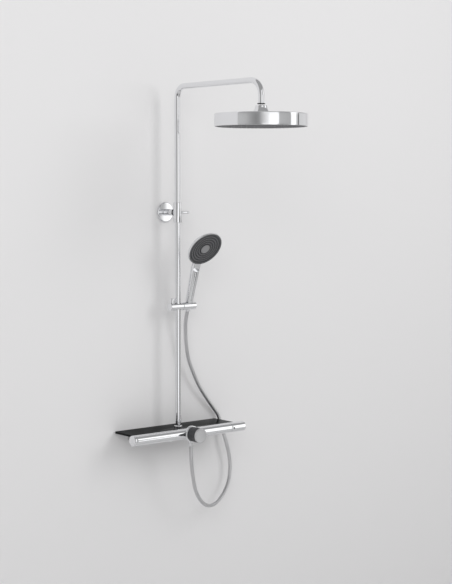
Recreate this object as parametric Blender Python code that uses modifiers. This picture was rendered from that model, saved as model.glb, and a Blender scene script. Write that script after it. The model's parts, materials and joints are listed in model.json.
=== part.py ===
"""Wall-mounted rainfall shower column: bar mixer, glass shelf, riser, arm, rain head and handset.

Metres, +Z up. The wall is the plane y = 0 and the shower stands out of it towards -Y.
The origin is on the wall, level with the mixer bar's axis and in line with the riser.
"""
import math

import bmesh
import bpy
from mathutils import Matrix, Vector

MM = 0.001
GAP = 0.3 * MM          # clearance between neighbouring pieces
MERGE = 0.01 * MM

# ---------------------------------------------------------------- driving dimensions
WALL_Y = 0.0

# mixer bar
BAR_Y = -136 * MM
BAR_RADIUS = 18 * MM
BAR_BORE_RADIUS = 14.5 * MM
BAR_HALF_LENGTH = 241 * MM
HANDLE_LENGTH = 62 * MM
END_CAP_LENGTH = 8 * MM
INLET_SPACING = 150 * MM
INLET_DROP = 19 * MM            # wall inlets below the bar's axis
INLET_BOSS_DROP = 9 * MM        # inlet bosses below the bar's axis
WATERWAY_RADIUS = 4.5 * MM
ROSETTE_RADIUS = 24 * MM
ROSETTE_DEPTH = 9 * MM
UNION_RADIUS = 12 * MM
UNION_BORE_RADIUS = 8 * MM
OUTLET_X = 8 * MM

# centre knob
KNOB_RADIUS = 25 * MM
KNOB_REACH = 44.5 * MM          # collar's front to the knob's front
COLLAR_RADIUS = 28 * MM
COLLAR_PROUD = 3.5 * MM         # collar's front beyond the bar
COLLAR_FRONT_Y = BAR_Y - BAR_RADIUS - COLLAR_PROUD
KNOB_FRONT_Y = COLLAR_FRONT_Y - KNOB_REACH

# shelf
SHELF_LENGTH = 439 * MM
SHELF_TOP = 12.8 * MM
SHELF_THICKNESS = 7 * MM
SHELF_BACK_Y = -4 * MM

# riser and arm
TUBE_RADIUS = 10 * MM
TUBE_WALL = 1.5 * MM
RISER_Y = -74 * MM
BRACKET_Z = 758 * MM
BUSH_WALL = 2 * MM
BUSH_RADIUS = TUBE_RADIUS + BUSH_WALL
SLEEVE_WALL = 2 * MM
SLEEVE_RADIUS = BUSH_RADIUS + SLEEVE_WALL
SLEEVE_LENGTH = 70 * MM
FLANGE_RADIUS = 34.5 * MM
FLANGE_DEPTH = 8 * MM
POST_RADIUS = 11 * MM
ARM_Z = 1187 * MM
REAR_BEND = 38 * MM
FRONT_BEND = 50 * MM
ARM_REACH = 438 * MM            # riser axis to rain head axis

# rain head
HEAD_RADIUS = 150 * MM
HEAD_HEIGHT = 41.5 * MM
HEAD_WALL = 2.5 * MM
HEAD_TOP = 1079.5 * MM
BALL_RISE = 18.5 * MM           # ball centre above the head's top
BALL_RADIUS = 9 * MM

# slider and handset
SLIDER_Z = 434 * MM
SLIDER_RADIUS = TUBE_RADIUS + 4 * MM
SLIDER_LEFT = 36 * MM
SLIDER_RIGHT = 73 * MM
SLIDER_SPLIT_X = TUBE_RADIUS + 8 * MM
HANDSET_X = 46 * MM
HANDSET_LEAN = math.radians(17)     # handle leans forward from the vertical
FACE_LEAN = math.radians(124.8)     # spray face's normal, turned from +Z towards -Y
FACE_CENTRE = (0, -32.6 * MM, 218.8 * MM)   # in the handset's own frame
HANDSET_RADIUS = 66 * MM
HANDSET_DEPTH = 22 * MM

# hose
HOSE_RADIUS = 6.5 * MM
HOSE_STEP = 28 * MM
HOSE_ROUTE_MM = [
    (8, -136, -44.6), (8.5, -135.5, -70), (11, -134, -98), (17, -130, -130), (26, -126, -166),
    (40, -120, -206), (66, -111, -244), (95, -100, -267), (124, -89, -279), (160, -75, -281),
    (195, -61, -271), (234, -47, -244), (256, -39, -212), (266, -34, -178), (267, -32, -143),
    (259, -33, -106), (247, -33, -68), (238, -28, -32), (232, -20, 0), (226.5, -16, 24),
    (206, -16, 50),
    (178, -21, 80), (129, -28, 141), (98, -33, 194), (74, -38, 242), (58, -45, 300),
    (49, -53, 360), (46, -61, 391), (46, -68.3, 415.2),
]

# facets round a turned piece
FINE = 56
MEDIUM = 24
TUBE_SIDES = 20
COARSE = 14

FRONT = (math.radians(90), 0, 0)        # local +Z points to -Y
BACK = (math.radians(-90), 0, 0)        # local +Z points to the wall
RIGHT = (0, math.radians(90), 0)
UP = (0, 0, 0)

for old in list(bpy.data.objects):
    bpy.data.objects.remove(old, do_unlink=True)


def new_collection(name):
    """A collection linked to the scene."""
    made = bpy.data.collections.new(name)
    bpy.context.scene.collection.children.link(made)
    return made


PARTS = new_collection("shower_column")
CUTTERS = new_collection("cutters")
GUIDES = new_collection("joint_guides")


def material(name, colour, roughness, metallic):
    """A Principled finish."""
    made = bpy.data.materials.new(name)
    made.use_nodes = True
    shader = made.node_tree.nodes["Principled BSDF"]
    shader.inputs["Base Color"].default_value = (*colour, 1)
    shader.inputs["Roughness"].default_value = roughness
    shader.inputs["Metallic"].default_value = metallic
    return made


CHROME = material("chrome", (0.80, 0.80, 0.81), 0.08, 1.0)
SATIN = material("satin_metal", (0.62, 0.62, 0.63), 0.30, 1.0)
BRASS = material("brass", (0.72, 0.53, 0.26), 0.35, 1.0)
HOSE_METAL = material("hose_metal", (0.42, 0.42, 0.43), 0.38, 0.9)
DARK_FACE = material("dark_plastic", (0.055, 0.055, 0.06), 0.35, 0.0)
BLACK_RUBBER = material("black_rubber", (0.015, 0.015, 0.015), 0.6, 0.0)
GLASS = material("black_glass", (0.03, 0.035, 0.035), 0.05, 0.0)
SILICONE = material("grey_silicone", (0.35, 0.35, 0.36), 0.5, 0.0)
WHITE_PLASTIC = material("white_plastic", (0.75, 0.75, 0.73), 0.4, 0.0)
STEEL = material("steel", (0.50, 0.50, 0.50), 0.35, 1.0)


# ---------------------------------------------------------------- modelling helpers
def guide(name, location, turn=UP):
    """An empty on a joint's axis, which the moving pieces are parented to."""
    made = bpy.data.objects.new(name, None)
    made.empty_display_size = 20 * MM
    made.location = location
    made.rotation_euler = turn
    GUIDES.objects.link(made)
    return made


def place(piece, location, turn, carrier):
    """Put a piece in its carrier's frame, or in the world where there is no carrier."""
    piece.location = location
    piece.rotation_euler = turn
    piece.parent = carrier
    return piece


def cutter(piece):
    """Make a piece a cutter or a guide solid, which the build leaves out."""
    for holder in list(piece.users_collection):
        holder.objects.unlink(piece)
    CUTTERS.objects.link(piece)
    piece.hide_render = True
    piece.display_type = "WIRE"
    return piece


def eased(*corners):
    """Points of an outline whose corners are (radius, height) or (radius, height, easing)."""
    flat = [Vector(corner[:2]) for corner in corners]
    points = []
    for index, corner in enumerate(corners):
        here = flat[index]
        if len(corner) < 3:
            points.append(here)
            continue
        towards_last = (flat[index - 1] - here).normalized() * corner[2]
        towards_next = (flat[(index + 1) % len(flat)] - here).normalized() * corner[2]
        points.append(here + towards_last)
        points.append(here + towards_next)
    return points


def turned(name, outline, finish, location=(0, 0, 0), turn=UP, steps=MEDIUM, carrier=None, ring=False):
    """Turn an outline of (radius, height) about local Z. It runs down the outer side; a ring closes it."""
    mesh = bpy.data.meshes.new(name)
    edges = [(index, index + 1) for index in range(len(outline) - 1)]
    if ring:
        edges.append((len(outline) - 1, 0))
    mesh.from_pydata([(point[0], 0, point[1]) for point in outline], edges, [])
    mesh.materials.append(finish)
    piece = bpy.data.objects.new(name, mesh)
    PARTS.objects.link(piece)
    screw = piece.modifiers.new("turn", "SCREW")
    screw.axis = "Z"
    screw.steps = steps
    screw.render_steps = steps
    screw.use_merge_vertices = True
    screw.merge_threshold = MERGE
    return place(piece, location, turn, carrier)


def rod(name, radius, length, finish, location, turn=UP, steps=MEDIUM, carrier=None, ease=0.0):
    """A round bar that starts at its location and runs along local Z."""
    if ease:
        outline = eased((0, length), (radius, length, ease), (radius, 0, ease), (0, 0))
    else:
        outline = [(0, length), (radius, length), (radius, 0), (0, 0)]
    return turned(name, outline, finish, location, turn, steps, carrier)


def sleeve(name, outer, inner, length, finish, location, turn=UP, steps=MEDIUM, carrier=None, ease=0.0):
    """A round tube that starts at its location and runs along local Z."""
    if ease:
        outline = eased((inner, length), (outer, length, ease), (outer, 0, ease), (inner, 0))
    else:
        outline = [(inner, length), (outer, length), (outer, 0), (inner, 0)]
    return turned(name, outline, finish, location, turn, steps, carrier, ring=True)


def block(name, size, centre, finish, ease=0.0, carrier=None, turn=UP):
    """A box with eased edges."""
    mesh = bpy.data.meshes.new(name)
    shape = bmesh.new()
    bmesh.ops.create_cube(shape, size=1.0, matrix=Matrix.Diagonal((*size, 1)))
    shape.to_mesh(mesh)
    shape.free()
    mesh.materials.append(finish)
    piece = bpy.data.objects.new(name, mesh)
    PARTS.objects.link(piece)
    if ease:
        bevel = piece.modifiers.new("eased edges", "BEVEL")
        bevel.width = ease
        bevel.segments = 2
    return place(piece, centre, turn, carrier)


def boolean(piece, other, operation):
    """Cut a piece with another solid, or join that solid to it."""
    step = piece.modifiers.new(operation.lower(), "BOOLEAN")
    step.operation = operation
    step.solver = "EXACT"
    step.object = cutter(other)
    return piece


def cut(piece, *others):
    """Cut each of the other solids from the piece."""
    for other in others:
        boolean(piece, other, "DIFFERENCE")
    return piece


def join(piece, *others):
    """Join each of the other solids to the piece."""
    for other in others:
        boolean(piece, other, "UNION")
    return piece


def path_curve(name, points, radius, finish, resolution, closed_ends, radii=None):
    """A round bar along a path of points."""
    line = bpy.data.curves.new(name, "CURVE")
    line.dimensions = "3D"
    line.bevel_depth = radius
    line.bevel_resolution = resolution
    line.use_fill_caps = closed_ends
    spline = line.splines.new("POLY")
    spline.points.add(len(points) - 1)
    for index, point in enumerate(points):
        spline.points[index].co = (*point, 1)
        spline.points[index].radius = radii[index] / radius if radii else 1.0
    line.materials.append(finish)
    piece = bpy.data.objects.new(name, line)
    PARTS.objects.link(piece)
    return piece


def as_mesh(piece):
    """Replace a curve object by a mesh object with welded caps."""
    bpy.context.view_layer.update()
    name = piece.name
    seen = piece.evaluated_get(bpy.context.evaluated_depsgraph_get())
    mesh = bpy.data.meshes.new_from_object(seen)
    shape = bmesh.new()
    shape.from_mesh(mesh)
    bmesh.ops.remove_doubles(shape, verts=shape.verts, dist=MERGE)
    bmesh.ops.recalc_face_normals(shape, faces=shape.faces)
    shape.to_mesh(mesh)
    shape.free()
    parent = piece.parent
    basis = piece.matrix_basis.copy()
    bpy.data.objects.remove(piece, do_unlink=True)
    made = bpy.data.objects.new(name, mesh)
    PARTS.objects.link(made)
    made.parent = parent
    made.matrix_basis = basis
    return made


def arc(centre, radius, start, end, count):
    """Points of an arc in the YZ plane, as (y, z) pairs."""
    turns = [start + (end - start) * index / count for index in range(count + 1)]
    return [(centre[0] + radius * math.cos(a), centre[1] + radius * math.sin(a)) for a in turns]


def smooth_path(points, step):
    """Evenly spaced points on a centripetal Catmull-Rom curve through the given points."""
    ends = [points[0] * 2 - points[1]] + list(points) + [points[-1] * 2 - points[-2]]
    fine = []
    for p0, p1, p2, p3 in zip(ends, ends[1:], ends[2:], ends[3:]):
        t1 = (p1 - p0).length ** 0.5
        t2 = t1 + (p2 - p1).length ** 0.5
        t3 = t2 + (p3 - p2).length ** 0.5
        for index in range(24):
            t = t1 + (t2 - t1) * index / 24
            a1 = p0.lerp(p1, t / t1)
            a2 = p1.lerp(p2, (t - t1) / (t2 - t1))
            a3 = p2.lerp(p3, (t - t2) / (t3 - t2))
            b1 = a1.lerp(a2, t / t2)
            b2 = a2.lerp(a3, (t - t1) / (t3 - t1))
            fine.append(b1.lerp(b2, (t - t1) / (t2 - t1)))
    fine.append(points[-1])
    length = sum((b - a).length for a, b in zip(fine, fine[1:]))
    count = round(length / step)
    even = [fine[0]]
    travelled = 0.0
    for a, b in zip(fine, fine[1:]):
        reach = (b - a).length
        while len(even) < count and travelled + reach >= length * len(even) / count:
            even.append(a.lerp(b, (length * len(even) / count - travelled) / reach))
        travelled += reach
    even.append(fine[-1])
    return even


# ---------------------------------------------------------------- mixer bar
HANDLE_X = BAR_HALF_LENGTH - HANDLE_LENGTH      # seam between the bar and the temperature handle
BAR_LEFT = -BAR_HALF_LENGTH + END_CAP_LENGTH
BOSS_END_Y = -104 * MM
BOSS_ROOT_Y = -133 * MM
WAY_ROOT_Y = -135 * MM
RISER_BRANCH_DROP = 9 * MM
BRANCH_RADIUS = 11 * MM
BRANCH_BORE_RADIUS = 7 * MM
OUTLET_BOSS_RADIUS = 8.5 * MM
OUTLET_BOSS_PROUD = 3 * MM
OUTLET_BOSS_END = -BAR_RADIUS - OUTLET_BOSS_PROUD
CARTRIDGE_RADIUS = 10.5 * MM
FRONT_BOSS_RADIUS = 15 * MM
INLET_SIDES = {"cold": -INLET_SPACING / 2, "hot": INLET_SPACING / 2}


def mixer_body():
    """The brass bar: an open tube with inlet, riser, outlet and cartridge bosses."""
    bar_length = HANDLE_X - GAP - BAR_LEFT
    bar = rod("mixer_body", BAR_RADIUS, bar_length, CHROME, (BAR_LEFT, BAR_Y, 0), RIGHT)
    for side, x in INLET_SIDES.items():
        root = (x, BOSS_ROOT_Y, -INLET_BOSS_DROP)
        boss_length = BOSS_END_Y - GAP - BOSS_ROOT_Y
        join(bar, rod(f"{side}_boss", UNION_RADIUS, boss_length, CHROME, root, BACK, COARSE))
    branch_root = (0, BOSS_ROOT_Y, -RISER_BRANCH_DROP)
    branch_length = BOSS_END_Y - GAP - BOSS_ROOT_Y
    join(bar, rod("riser_boss", BRANCH_RADIUS, branch_length, CHROME, branch_root, BACK, COARSE))
    outlet_root = (OUTLET_X, BAR_Y, OUTLET_BOSS_END)
    outlet_boss = rod("outlet_boss", OUTLET_BOSS_RADIUS, 9 * MM, CHROME, outlet_root, UP, COARSE)
    join(bar, outlet_boss)
    front_boss_length = BAR_Y - COLLAR_FRONT_Y
    join(bar, rod("front_boss", FRONT_BOSS_RADIUS, front_boss_length, CHROME, (0, BAR_Y, 0), FRONT))
    water = rod("waterways", BAR_BORE_RADIUS, bar_length + 2 * MM, CHROME, (BAR_LEFT - MM, BAR_Y, 0), RIGHT)
    for side, x in INLET_SIDES.items():
        root = (x, WAY_ROOT_Y, -INLET_BOSS_DROP)
        join(water, rod(f"{side}_way", WATERWAY_RADIUS, 36 * MM, CHROME, root, BACK, COARSE))
    branch_way = (0, WAY_ROOT_Y, -RISER_BRANCH_DROP)
    join(water, rod("riser_way", WATERWAY_RADIUS, 36 * MM, CHROME, branch_way, BACK, COARSE))
    outlet_way = (OUTLET_X, BAR_Y, OUTLET_BOSS_END - 2 * MM)
    join(water, rod("outlet_way", WATERWAY_RADIUS, 20 * MM, CHROME, outlet_way, UP, COARSE))
    join(water, rod("cartridge_way", CARTRIDGE_RADIUS + GAP, 40 * MM, CHROME, (0, BAR_Y + 5 * MM, 0), FRONT))
    cut(bar, water)
    weld = bar.modifiers.new("weld", "WELD")
    weld.merge_threshold = 0.05 * MM
    return bar


mixer_body()

# left end cap: a plug with a flush outer disc
turned("end_cap_left", eased((0, 0), (BAR_RADIUS, 0), (BAR_RADIUS, -END_CAP_LENGTH + GAP, 1.5 * MM),
                             (0, -END_CAP_LENGTH + GAP)),
       CHROME, (BAR_LEFT - GAP, BAR_Y, 0), RIGHT)
join(bpy.data.objects["end_cap_left"],
     rod("cap_plug", BAR_BORE_RADIUS - GAP, 12 * MM, CHROME, (BAR_LEFT - MM, BAR_Y, 0), RIGHT))

# thermostat: cartridge in the bar, handle on its spindle, safety button in the handle
CARTRIDGE_END = HANDLE_X + 6 * MM
thermostat_start = (HANDLE_X - 64 * MM, BAR_Y, 0)
turned("thermostat_cartridge",
       [(0, 70 * MM), (9 * MM, 70 * MM), (9 * MM, 60 * MM), (BAR_BORE_RADIUS - GAP, 60 * MM),
        (BAR_BORE_RADIUS - GAP, 8 * MM), (8 * MM, 0), (0, 0)],
       BRASS, thermostat_start, RIGHT, COARSE)

temperature_axis = guide("temperature_axis", (HANDLE_X + GAP, BAR_Y, 0), RIGHT)
rod("temperature_spindle", 5 * MM, 34 * MM, BRASS, (0, 0, CARTRIDGE_END - HANDLE_X), UP, COARSE,
    temperature_axis)
HANDLE_END = HANDLE_LENGTH - GAP
handle = turned("temperature_handle",
                eased((0, HANDLE_END), (BAR_RADIUS, HANDLE_END, 1.5 * MM), (BAR_RADIUS, 0, 0.4 * MM),
                      (BAR_BORE_RADIUS, 0), (BAR_BORE_RADIUS, 30 * MM), (5 * MM + GAP, 30 * MM),
                      (5 * MM + GAP, 42 * MM), (0, 42 * MM)),
                CHROME, (0, 0, 0), UP, MEDIUM, temperature_axis)
BUTTON_X = 8 * MM
SAFETY_RADIUS = 3.2 * MM
cut(handle, rod("button_way", SAFETY_RADIUS + GAP, 30 * MM, CHROME, (0, 0, BUTTON_X), FRONT, COARSE,
                temperature_axis))
SAFETY_PROUD = 0.8 * MM
safety_start = (HANDLE_X + GAP + BUTTON_X, BAR_Y - BAR_BORE_RADIUS + 2.5 * MM, 0)
SAFETY_LENGTH = BAR_RADIUS - BAR_BORE_RADIUS + 2.5 * MM + SAFETY_PROUD
rod("safety_button", SAFETY_RADIUS, SAFETY_LENGTH, DARK_FACE, safety_start, FRONT, COARSE, None, 0.5 * MM)

# centre: collar, diverter cartridge, spindle, ribbed grip and face disc
COLLAR_DEPTH = 11.5 * MM
CARTRIDGE_TAIL = 8 * MM
collar = sleeve("knob_collar", COLLAR_RADIUS, FRONT_BOSS_RADIUS + GAP, COLLAR_DEPTH, CHROME,
                (0, COLLAR_FRONT_Y + COLLAR_DEPTH, 0), FRONT, MEDIUM, None, 1.5 * MM)
cut(collar, rod("bar_seat", BAR_RADIUS + GAP, 120 * MM, CHROME, (-60 * MM, BAR_Y, 0), RIGHT))

CARTRIDGE_BACK_Y = BAR_Y + CARTRIDGE_TAIL
rod("diverter_cartridge", CARTRIDGE_RADIUS, CARTRIDGE_BACK_Y - COLLAR_FRONT_Y - MM, BRASS,
    (0, CARTRIDGE_BACK_Y, 0), FRONT, COARSE)

GRIP_BACK_Y = COLLAR_FRONT_Y - 2 * GAP
FACE_THICKNESS = 5 * MM
GRIP_FRONT_Y = KNOB_FRONT_Y + FACE_THICKNESS + GAP
SPINDLE_RADIUS = 4 * MM
knob_axis = guide("knob_axis", (0, GRIP_BACK_Y, 0), FRONT)
GRIP_LENGTH = GRIP_BACK_Y - GRIP_FRONT_Y
SPINDLE_TAIL = 1.2 * MM
rod("diverter_spindle", SPINDLE_RADIUS, GRIP_LENGTH + SPINDLE_TAIL - GAP, BRASS, (0, 0, -SPINDLE_TAIL), UP,
    COARSE, knob_axis)
GRIP_WEB = 4 * MM
turned("knob_grip",
       eased((SPINDLE_RADIUS + GAP, GRIP_LENGTH), (KNOB_RADIUS, GRIP_LENGTH, MM), (KNOB_RADIUS, 0, MM),
             (20 * MM, 0), (20 * MM, GRIP_LENGTH - GRIP_WEB), (SPINDLE_RADIUS + GAP, GRIP_LENGTH - GRIP_WEB)),
       DARK_FACE, (0, 0, 0), UP, 30, knob_axis, ring=True)
rod("knob_face", KNOB_RADIUS, FACE_THICKNESS, SATIN, (0, 0, GRIP_LENGTH + GAP), UP, 30, knob_axis, 0.8 * MM)

# ---------------------------------------------------------------- wall inlets
UNION_MID_Y = -52 * MM
NUT_LENGTH = 19 * MM
NUT_RADIUS = 14.4 * MM
VALVE_BORE_RADIUS = 4 * MM
VALVE_LENGTH = 14 * MM
VALVE_BACK_Y = -82 * MM
for side, x in INLET_SIDES.items():
    union = rod(f"inlet_union_{side}", UNION_RADIUS, -UNION_MID_Y + 6 * MM, CHROME,
                (x, WALL_Y, -INLET_DROP), FRONT, TUBE_SIDES)
    mixer_end = (x, UNION_MID_Y + 6 * MM, -INLET_BOSS_DROP)
    end_length = UNION_MID_Y + 6 * MM - BOSS_END_Y
    join(union, rod(f"{side}_union_end", UNION_RADIUS - 0.2 * MM, end_length, CHROME, mixer_end, FRONT,
                    TUBE_SIDES))
    wall_bore = (x, WALL_Y + MM, -INLET_DROP)
    cut(union, rod(f"{side}_wall_bore", UNION_BORE_RADIUS, -UNION_MID_Y + MM, CHROME, wall_bore, FRONT, COARSE))
    end_bore = (x, UNION_MID_Y + MM, -INLET_BOSS_DROP)
    cut(union, rod(f"{side}_end_bore", UNION_BORE_RADIUS - 0.1 * MM, 60 * MM, CHROME, end_bore, FRONT, COARSE))
    sleeve(f"check_valve_{side}", UNION_BORE_RADIUS - 0.6 * MM, VALVE_BORE_RADIUS, VALVE_LENGTH, WHITE_PLASTIC,
           (x, VALVE_BACK_Y, -INLET_BOSS_DROP), FRONT, COARSE)
    nut_outline = eased((UNION_RADIUS + GAP, NUT_LENGTH), (NUT_RADIUS, NUT_LENGTH, MM), (NUT_RADIUS, 0, MM),
                        (UNION_RADIUS + GAP, 0))
    nut_place = (x, BOSS_END_Y + NUT_LENGTH + MM, -INLET_BOSS_DROP)
    turned(f"union_nut_{side}", nut_outline, CHROME, nut_place, FRONT, 24, None, ring=True)
    rosette_outline = eased((UNION_RADIUS + GAP, ROSETTE_DEPTH), (19 * MM, ROSETTE_DEPTH, 2 * MM),
                            (ROSETTE_RADIUS, 3 * MM, MM), (ROSETTE_RADIUS, 0), (UNION_RADIUS + GAP, 0))
    turned(f"wall_rosette_{side}", rosette_outline, CHROME, (x, WALL_Y, -INLET_DROP), FRONT, MEDIUM, None,
           ring=True)

# ---------------------------------------------------------------- shelf
SHELF_BOTTOM = SHELF_TOP - SHELF_THICKNESS
bar_reach = math.sqrt(BAR_RADIUS ** 2 - SHELF_BOTTOM ** 2)
SHELF_FRONT_Y = BAR_Y + bar_reach + GAP
SHELF_DEPTH = SHELF_BACK_Y - SHELF_FRONT_Y
shelf = block("shelf_panel", (SHELF_LENGTH, SHELF_DEPTH, SHELF_THICKNESS),
              (0, SHELF_BACK_Y - SHELF_DEPTH / 2, SHELF_TOP - SHELF_THICKNESS / 2), GLASS, 0.8 * MM)
BASE_RING_RADIUS = TUBE_RADIUS + 4 * MM
cut(shelf, rod("shelf_hole", BASE_RING_RADIUS + GAP, 20 * MM, GLASS, (0, RISER_Y, 0), UP, MEDIUM))

BRACKET_X = 150 * MM
BRACKET_WIDTH = 22 * MM
BRACKET_THICKNESS = 4 * MM
for side, x in {"left": -BRACKET_X, "right": BRACKET_X}.items():
    tongue_depth = -SHELF_FRONT_Y - 4 * MM
    tongue_top = SHELF_BOTTOM - GAP
    tongue = block(f"shelf_bracket_{side}", (BRACKET_WIDTH, tongue_depth, BRACKET_THICKNESS),
                   (x, WALL_Y - tongue_depth / 2, tongue_top - BRACKET_THICKNESS / 2), STEEL)
    plate_height = 30 * MM
    join(tongue, block(f"bracket_{side}_plate", (BRACKET_WIDTH - MM, 3.8 * MM, plate_height),
                       (x, WALL_Y - 1.9 * MM - 0.01 * MM, tongue_top - plate_height / 2 - 0.5 * MM), STEEL))
    cut(tongue, rod(f"bracket_{side}_hole", 2.6 * MM, 12 * MM, STEEL,
                    (x, WALL_Y + 2 * MM, tongue_top - 18 * MM), FRONT, COARSE))

# ---------------------------------------------------------------- riser foot
ELBOW_RADIUS = TUBE_RADIUS + 3.5 * MM
ELBOW_BOTTOM = -21 * MM
SOCKET_FLOOR = -1 * MM
elbow = rod("riser_elbow", ELBOW_RADIUS, SHELF_BOTTOM - GAP - ELBOW_BOTTOM, CHROME,
            (0, RISER_Y, ELBOW_BOTTOM), UP, MEDIUM, None, 0.8 * MM)
join(elbow, rod("elbow_arm", BRANCH_RADIUS, RISER_Y - BOSS_END_Y, CHROME,
                (0, RISER_Y, -RISER_BRANCH_DROP), FRONT, TUBE_SIDES))
cut(elbow,
    rod("elbow_socket", TUBE_RADIUS + GAP, 20 * MM, CHROME, (0, RISER_Y, SOCKET_FLOOR), UP, TUBE_SIDES),
    rod("elbow_down", BRANCH_BORE_RADIUS, 20 * MM, CHROME, (0, RISER_Y, -16 * MM), UP, COARSE),
    rod("elbow_way", BRANCH_BORE_RADIUS - 0.5 * MM, 40 * MM, CHROME, (0, RISER_Y, -RISER_BRANCH_DROP),
        FRONT, COARSE))

RISER_BOTTOM = SOCKET_FLOOR + GAP
sleeve("riser_tube", TUBE_RADIUS, TUBE_RADIUS - TUBE_WALL, BRACKET_Z - GAP - RISER_BOTTOM, CHROME,
       (0, RISER_Y, RISER_BOTTOM), UP, TUBE_SIDES)
BASE_RING_PROUD = 7.3 * MM       # ring's top above the shelf
BASE_RING_HEIGHT = SHELF_THICKNESS + BASE_RING_PROUD
sleeve("riser_base_ring", BASE_RING_RADIUS, TUBE_RADIUS + GAP, BASE_RING_HEIGHT, CHROME,
       (0, RISER_Y, SHELF_BOTTOM), UP, MEDIUM, None, MM)

# ---------------------------------------------------------------- wall bracket
NECK_END_Y = RISER_Y + SLEEVE_RADIUS + 2 * MM
bracket_sleeve = rod("bracket_sleeve", SLEEVE_RADIUS, SLEEVE_LENGTH, CHROME,
                     (0, RISER_Y, BRACKET_Z - SLEEVE_LENGTH / 2), UP, MEDIUM, None, MM)
join(bracket_sleeve, rod("sleeve_neck", POST_RADIUS - MM, NECK_END_Y - RISER_Y, CHROME,
                         (0, RISER_Y, BRACKET_Z), BACK, TUBE_SIDES))
PIN_SHANK_RADIUS = 3 * MM
BOLT_RADIUS = 4 * MM
cut(bracket_sleeve,
    rod("sleeve_bore", BUSH_RADIUS + GAP, SLEEVE_LENGTH + 4 * MM, CHROME,
        (0, RISER_Y, BRACKET_Z - SLEEVE_LENGTH / 2 - 2 * MM), UP, TUBE_SIDES),
    rod("pin_way", PIN_SHANK_RADIUS + GAP, 30 * MM, CHROME, (0, RISER_Y, BRACKET_Z), RIGHT, COARSE),
    rod("bolt_way", BOLT_RADIUS + GAP, 30 * MM, CHROME, (0, RISER_Y, BRACKET_Z), BACK, COARSE))
sleeve("bracket_bush", BUSH_RADIUS, TUBE_RADIUS + GAP, SLEEVE_LENGTH - 4 * MM, WHITE_PLASTIC,
       (0, RISER_Y, BRACKET_Z - SLEEVE_LENGTH / 2 + 2 * MM), UP, TUBE_SIDES)

SEAL_DEPTH = 3 * MM
TRIM_DEPTH = 4 * MM
seal_back_y = NECK_END_Y + GAP + SEAL_DEPTH
trim_back_y = seal_back_y + GAP + TRIM_DEPTH
sleeve("bracket_seal", POST_RADIUS + 0.5 * MM, BOLT_RADIUS + GAP, SEAL_DEPTH, BLACK_RUBBER,
       (0, seal_back_y, BRACKET_Z), FRONT, TUBE_SIDES)
sleeve("bracket_trim_ring", POST_RADIUS + 1.5 * MM, BOLT_RADIUS + GAP, TRIM_DEPTH, CHROME,
       (0, trim_back_y, BRACKET_Z), FRONT, TUBE_SIDES, None, 0.8 * MM)
post_back_y = WALL_Y - FLANGE_DEPTH - GAP
sleeve("bracket_post", POST_RADIUS, BOLT_RADIUS + GAP, post_back_y - GAP - trim_back_y, CHROME,
       (0, post_back_y, BRACKET_Z), FRONT, TUBE_SIDES)
PLATE_RADIUS = FLANGE_RADIUS - 4.5 * MM
PLATE_DEPTH = 4.5 * MM
turned("bracket_flange",
       eased((BOLT_RADIUS + GAP, FLANGE_DEPTH), (FLANGE_RADIUS, FLANGE_DEPTH, 1.5 * MM), (FLANGE_RADIUS, 0),
             (PLATE_RADIUS + GAP, 0), (PLATE_RADIUS + GAP, PLATE_DEPTH + GAP),
             (BOLT_RADIUS + GAP, PLATE_DEPTH + GAP)),
       CHROME, (0, WALL_Y, BRACKET_Z), FRONT, 36, None, ring=True)
sleeve("bracket_wall_plate", PLATE_RADIUS, BOLT_RADIUS + GAP, PLATE_DEPTH, STEEL, (0, WALL_Y, BRACKET_Z), FRONT)
rod("bracket_bolt", BOLT_RADIUS, -NECK_END_Y + 3 * MM, STEEL, (0, WALL_Y - 0.5 * MM, BRACKET_Z), FRONT, COARSE)

PIN_END_X = 48 * MM
turned("clamp_pin",
       eased((0, PIN_END_X), (5 * MM, PIN_END_X, MM), (5.5 * MM, SLEEVE_RADIUS + GAP, 0.8 * MM),
             (PIN_SHANK_RADIUS, SLEEVE_RADIUS + GAP), (PIN_SHANK_RADIUS, BUSH_RADIUS + GAP),
             (0, BUSH_RADIUS + GAP)),
       CHROME, (0, RISER_Y, BRACKET_Z), RIGHT, COARSE)

# ---------------------------------------------------------------- swivelling arm
HEAD_Y = RISER_Y - ARM_REACH
BALL_Z = HEAD_TOP + BALL_RISE
ARM_END_RISE = 14 * MM          # arm's end above the ball's centre
ARM_END = BALL_Z + ARM_END_RISE
arm_axis = guide("arm_axis", (0, RISER_Y, BRACKET_Z))


def arm_path():
    """Centre line of the arm, up the riser, over to the head and down again."""
    rear = arc((RISER_Y - REAR_BEND, ARM_Z - REAR_BEND), REAR_BEND, 0, math.pi / 2, 5)
    front = arc((HEAD_Y + FRONT_BEND, ARM_Z - FRONT_BEND), FRONT_BEND, math.pi / 2, math.pi, 6)
    line = [(RISER_Y, BRACKET_Z + GAP)] + rear + front + [(HEAD_Y, ARM_END)]
    return [(0, y - RISER_Y, z - BRACKET_Z) for y, z in line]


arm = path_curve("arm_tube", arm_path(), TUBE_RADIUS, CHROME, TUBE_SIDES // 2 - 2, False)
place(arm, (0, 0, 0), UP, arm_axis)
wall = arm.modifiers.new("tube wall", "SOLIDIFY")
wall.thickness = TUBE_WALL
wall.offset = -1

COUPLING_HALF = 30 * MM
sleeve("swivel_coupling", TUBE_RADIUS - TUBE_WALL - 0.4 * MM, 6 * MM, 2 * COUPLING_HALF, BRASS,
       (0, RISER_Y, BRACKET_Z - COUPLING_HALF), UP, COARSE)

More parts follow.
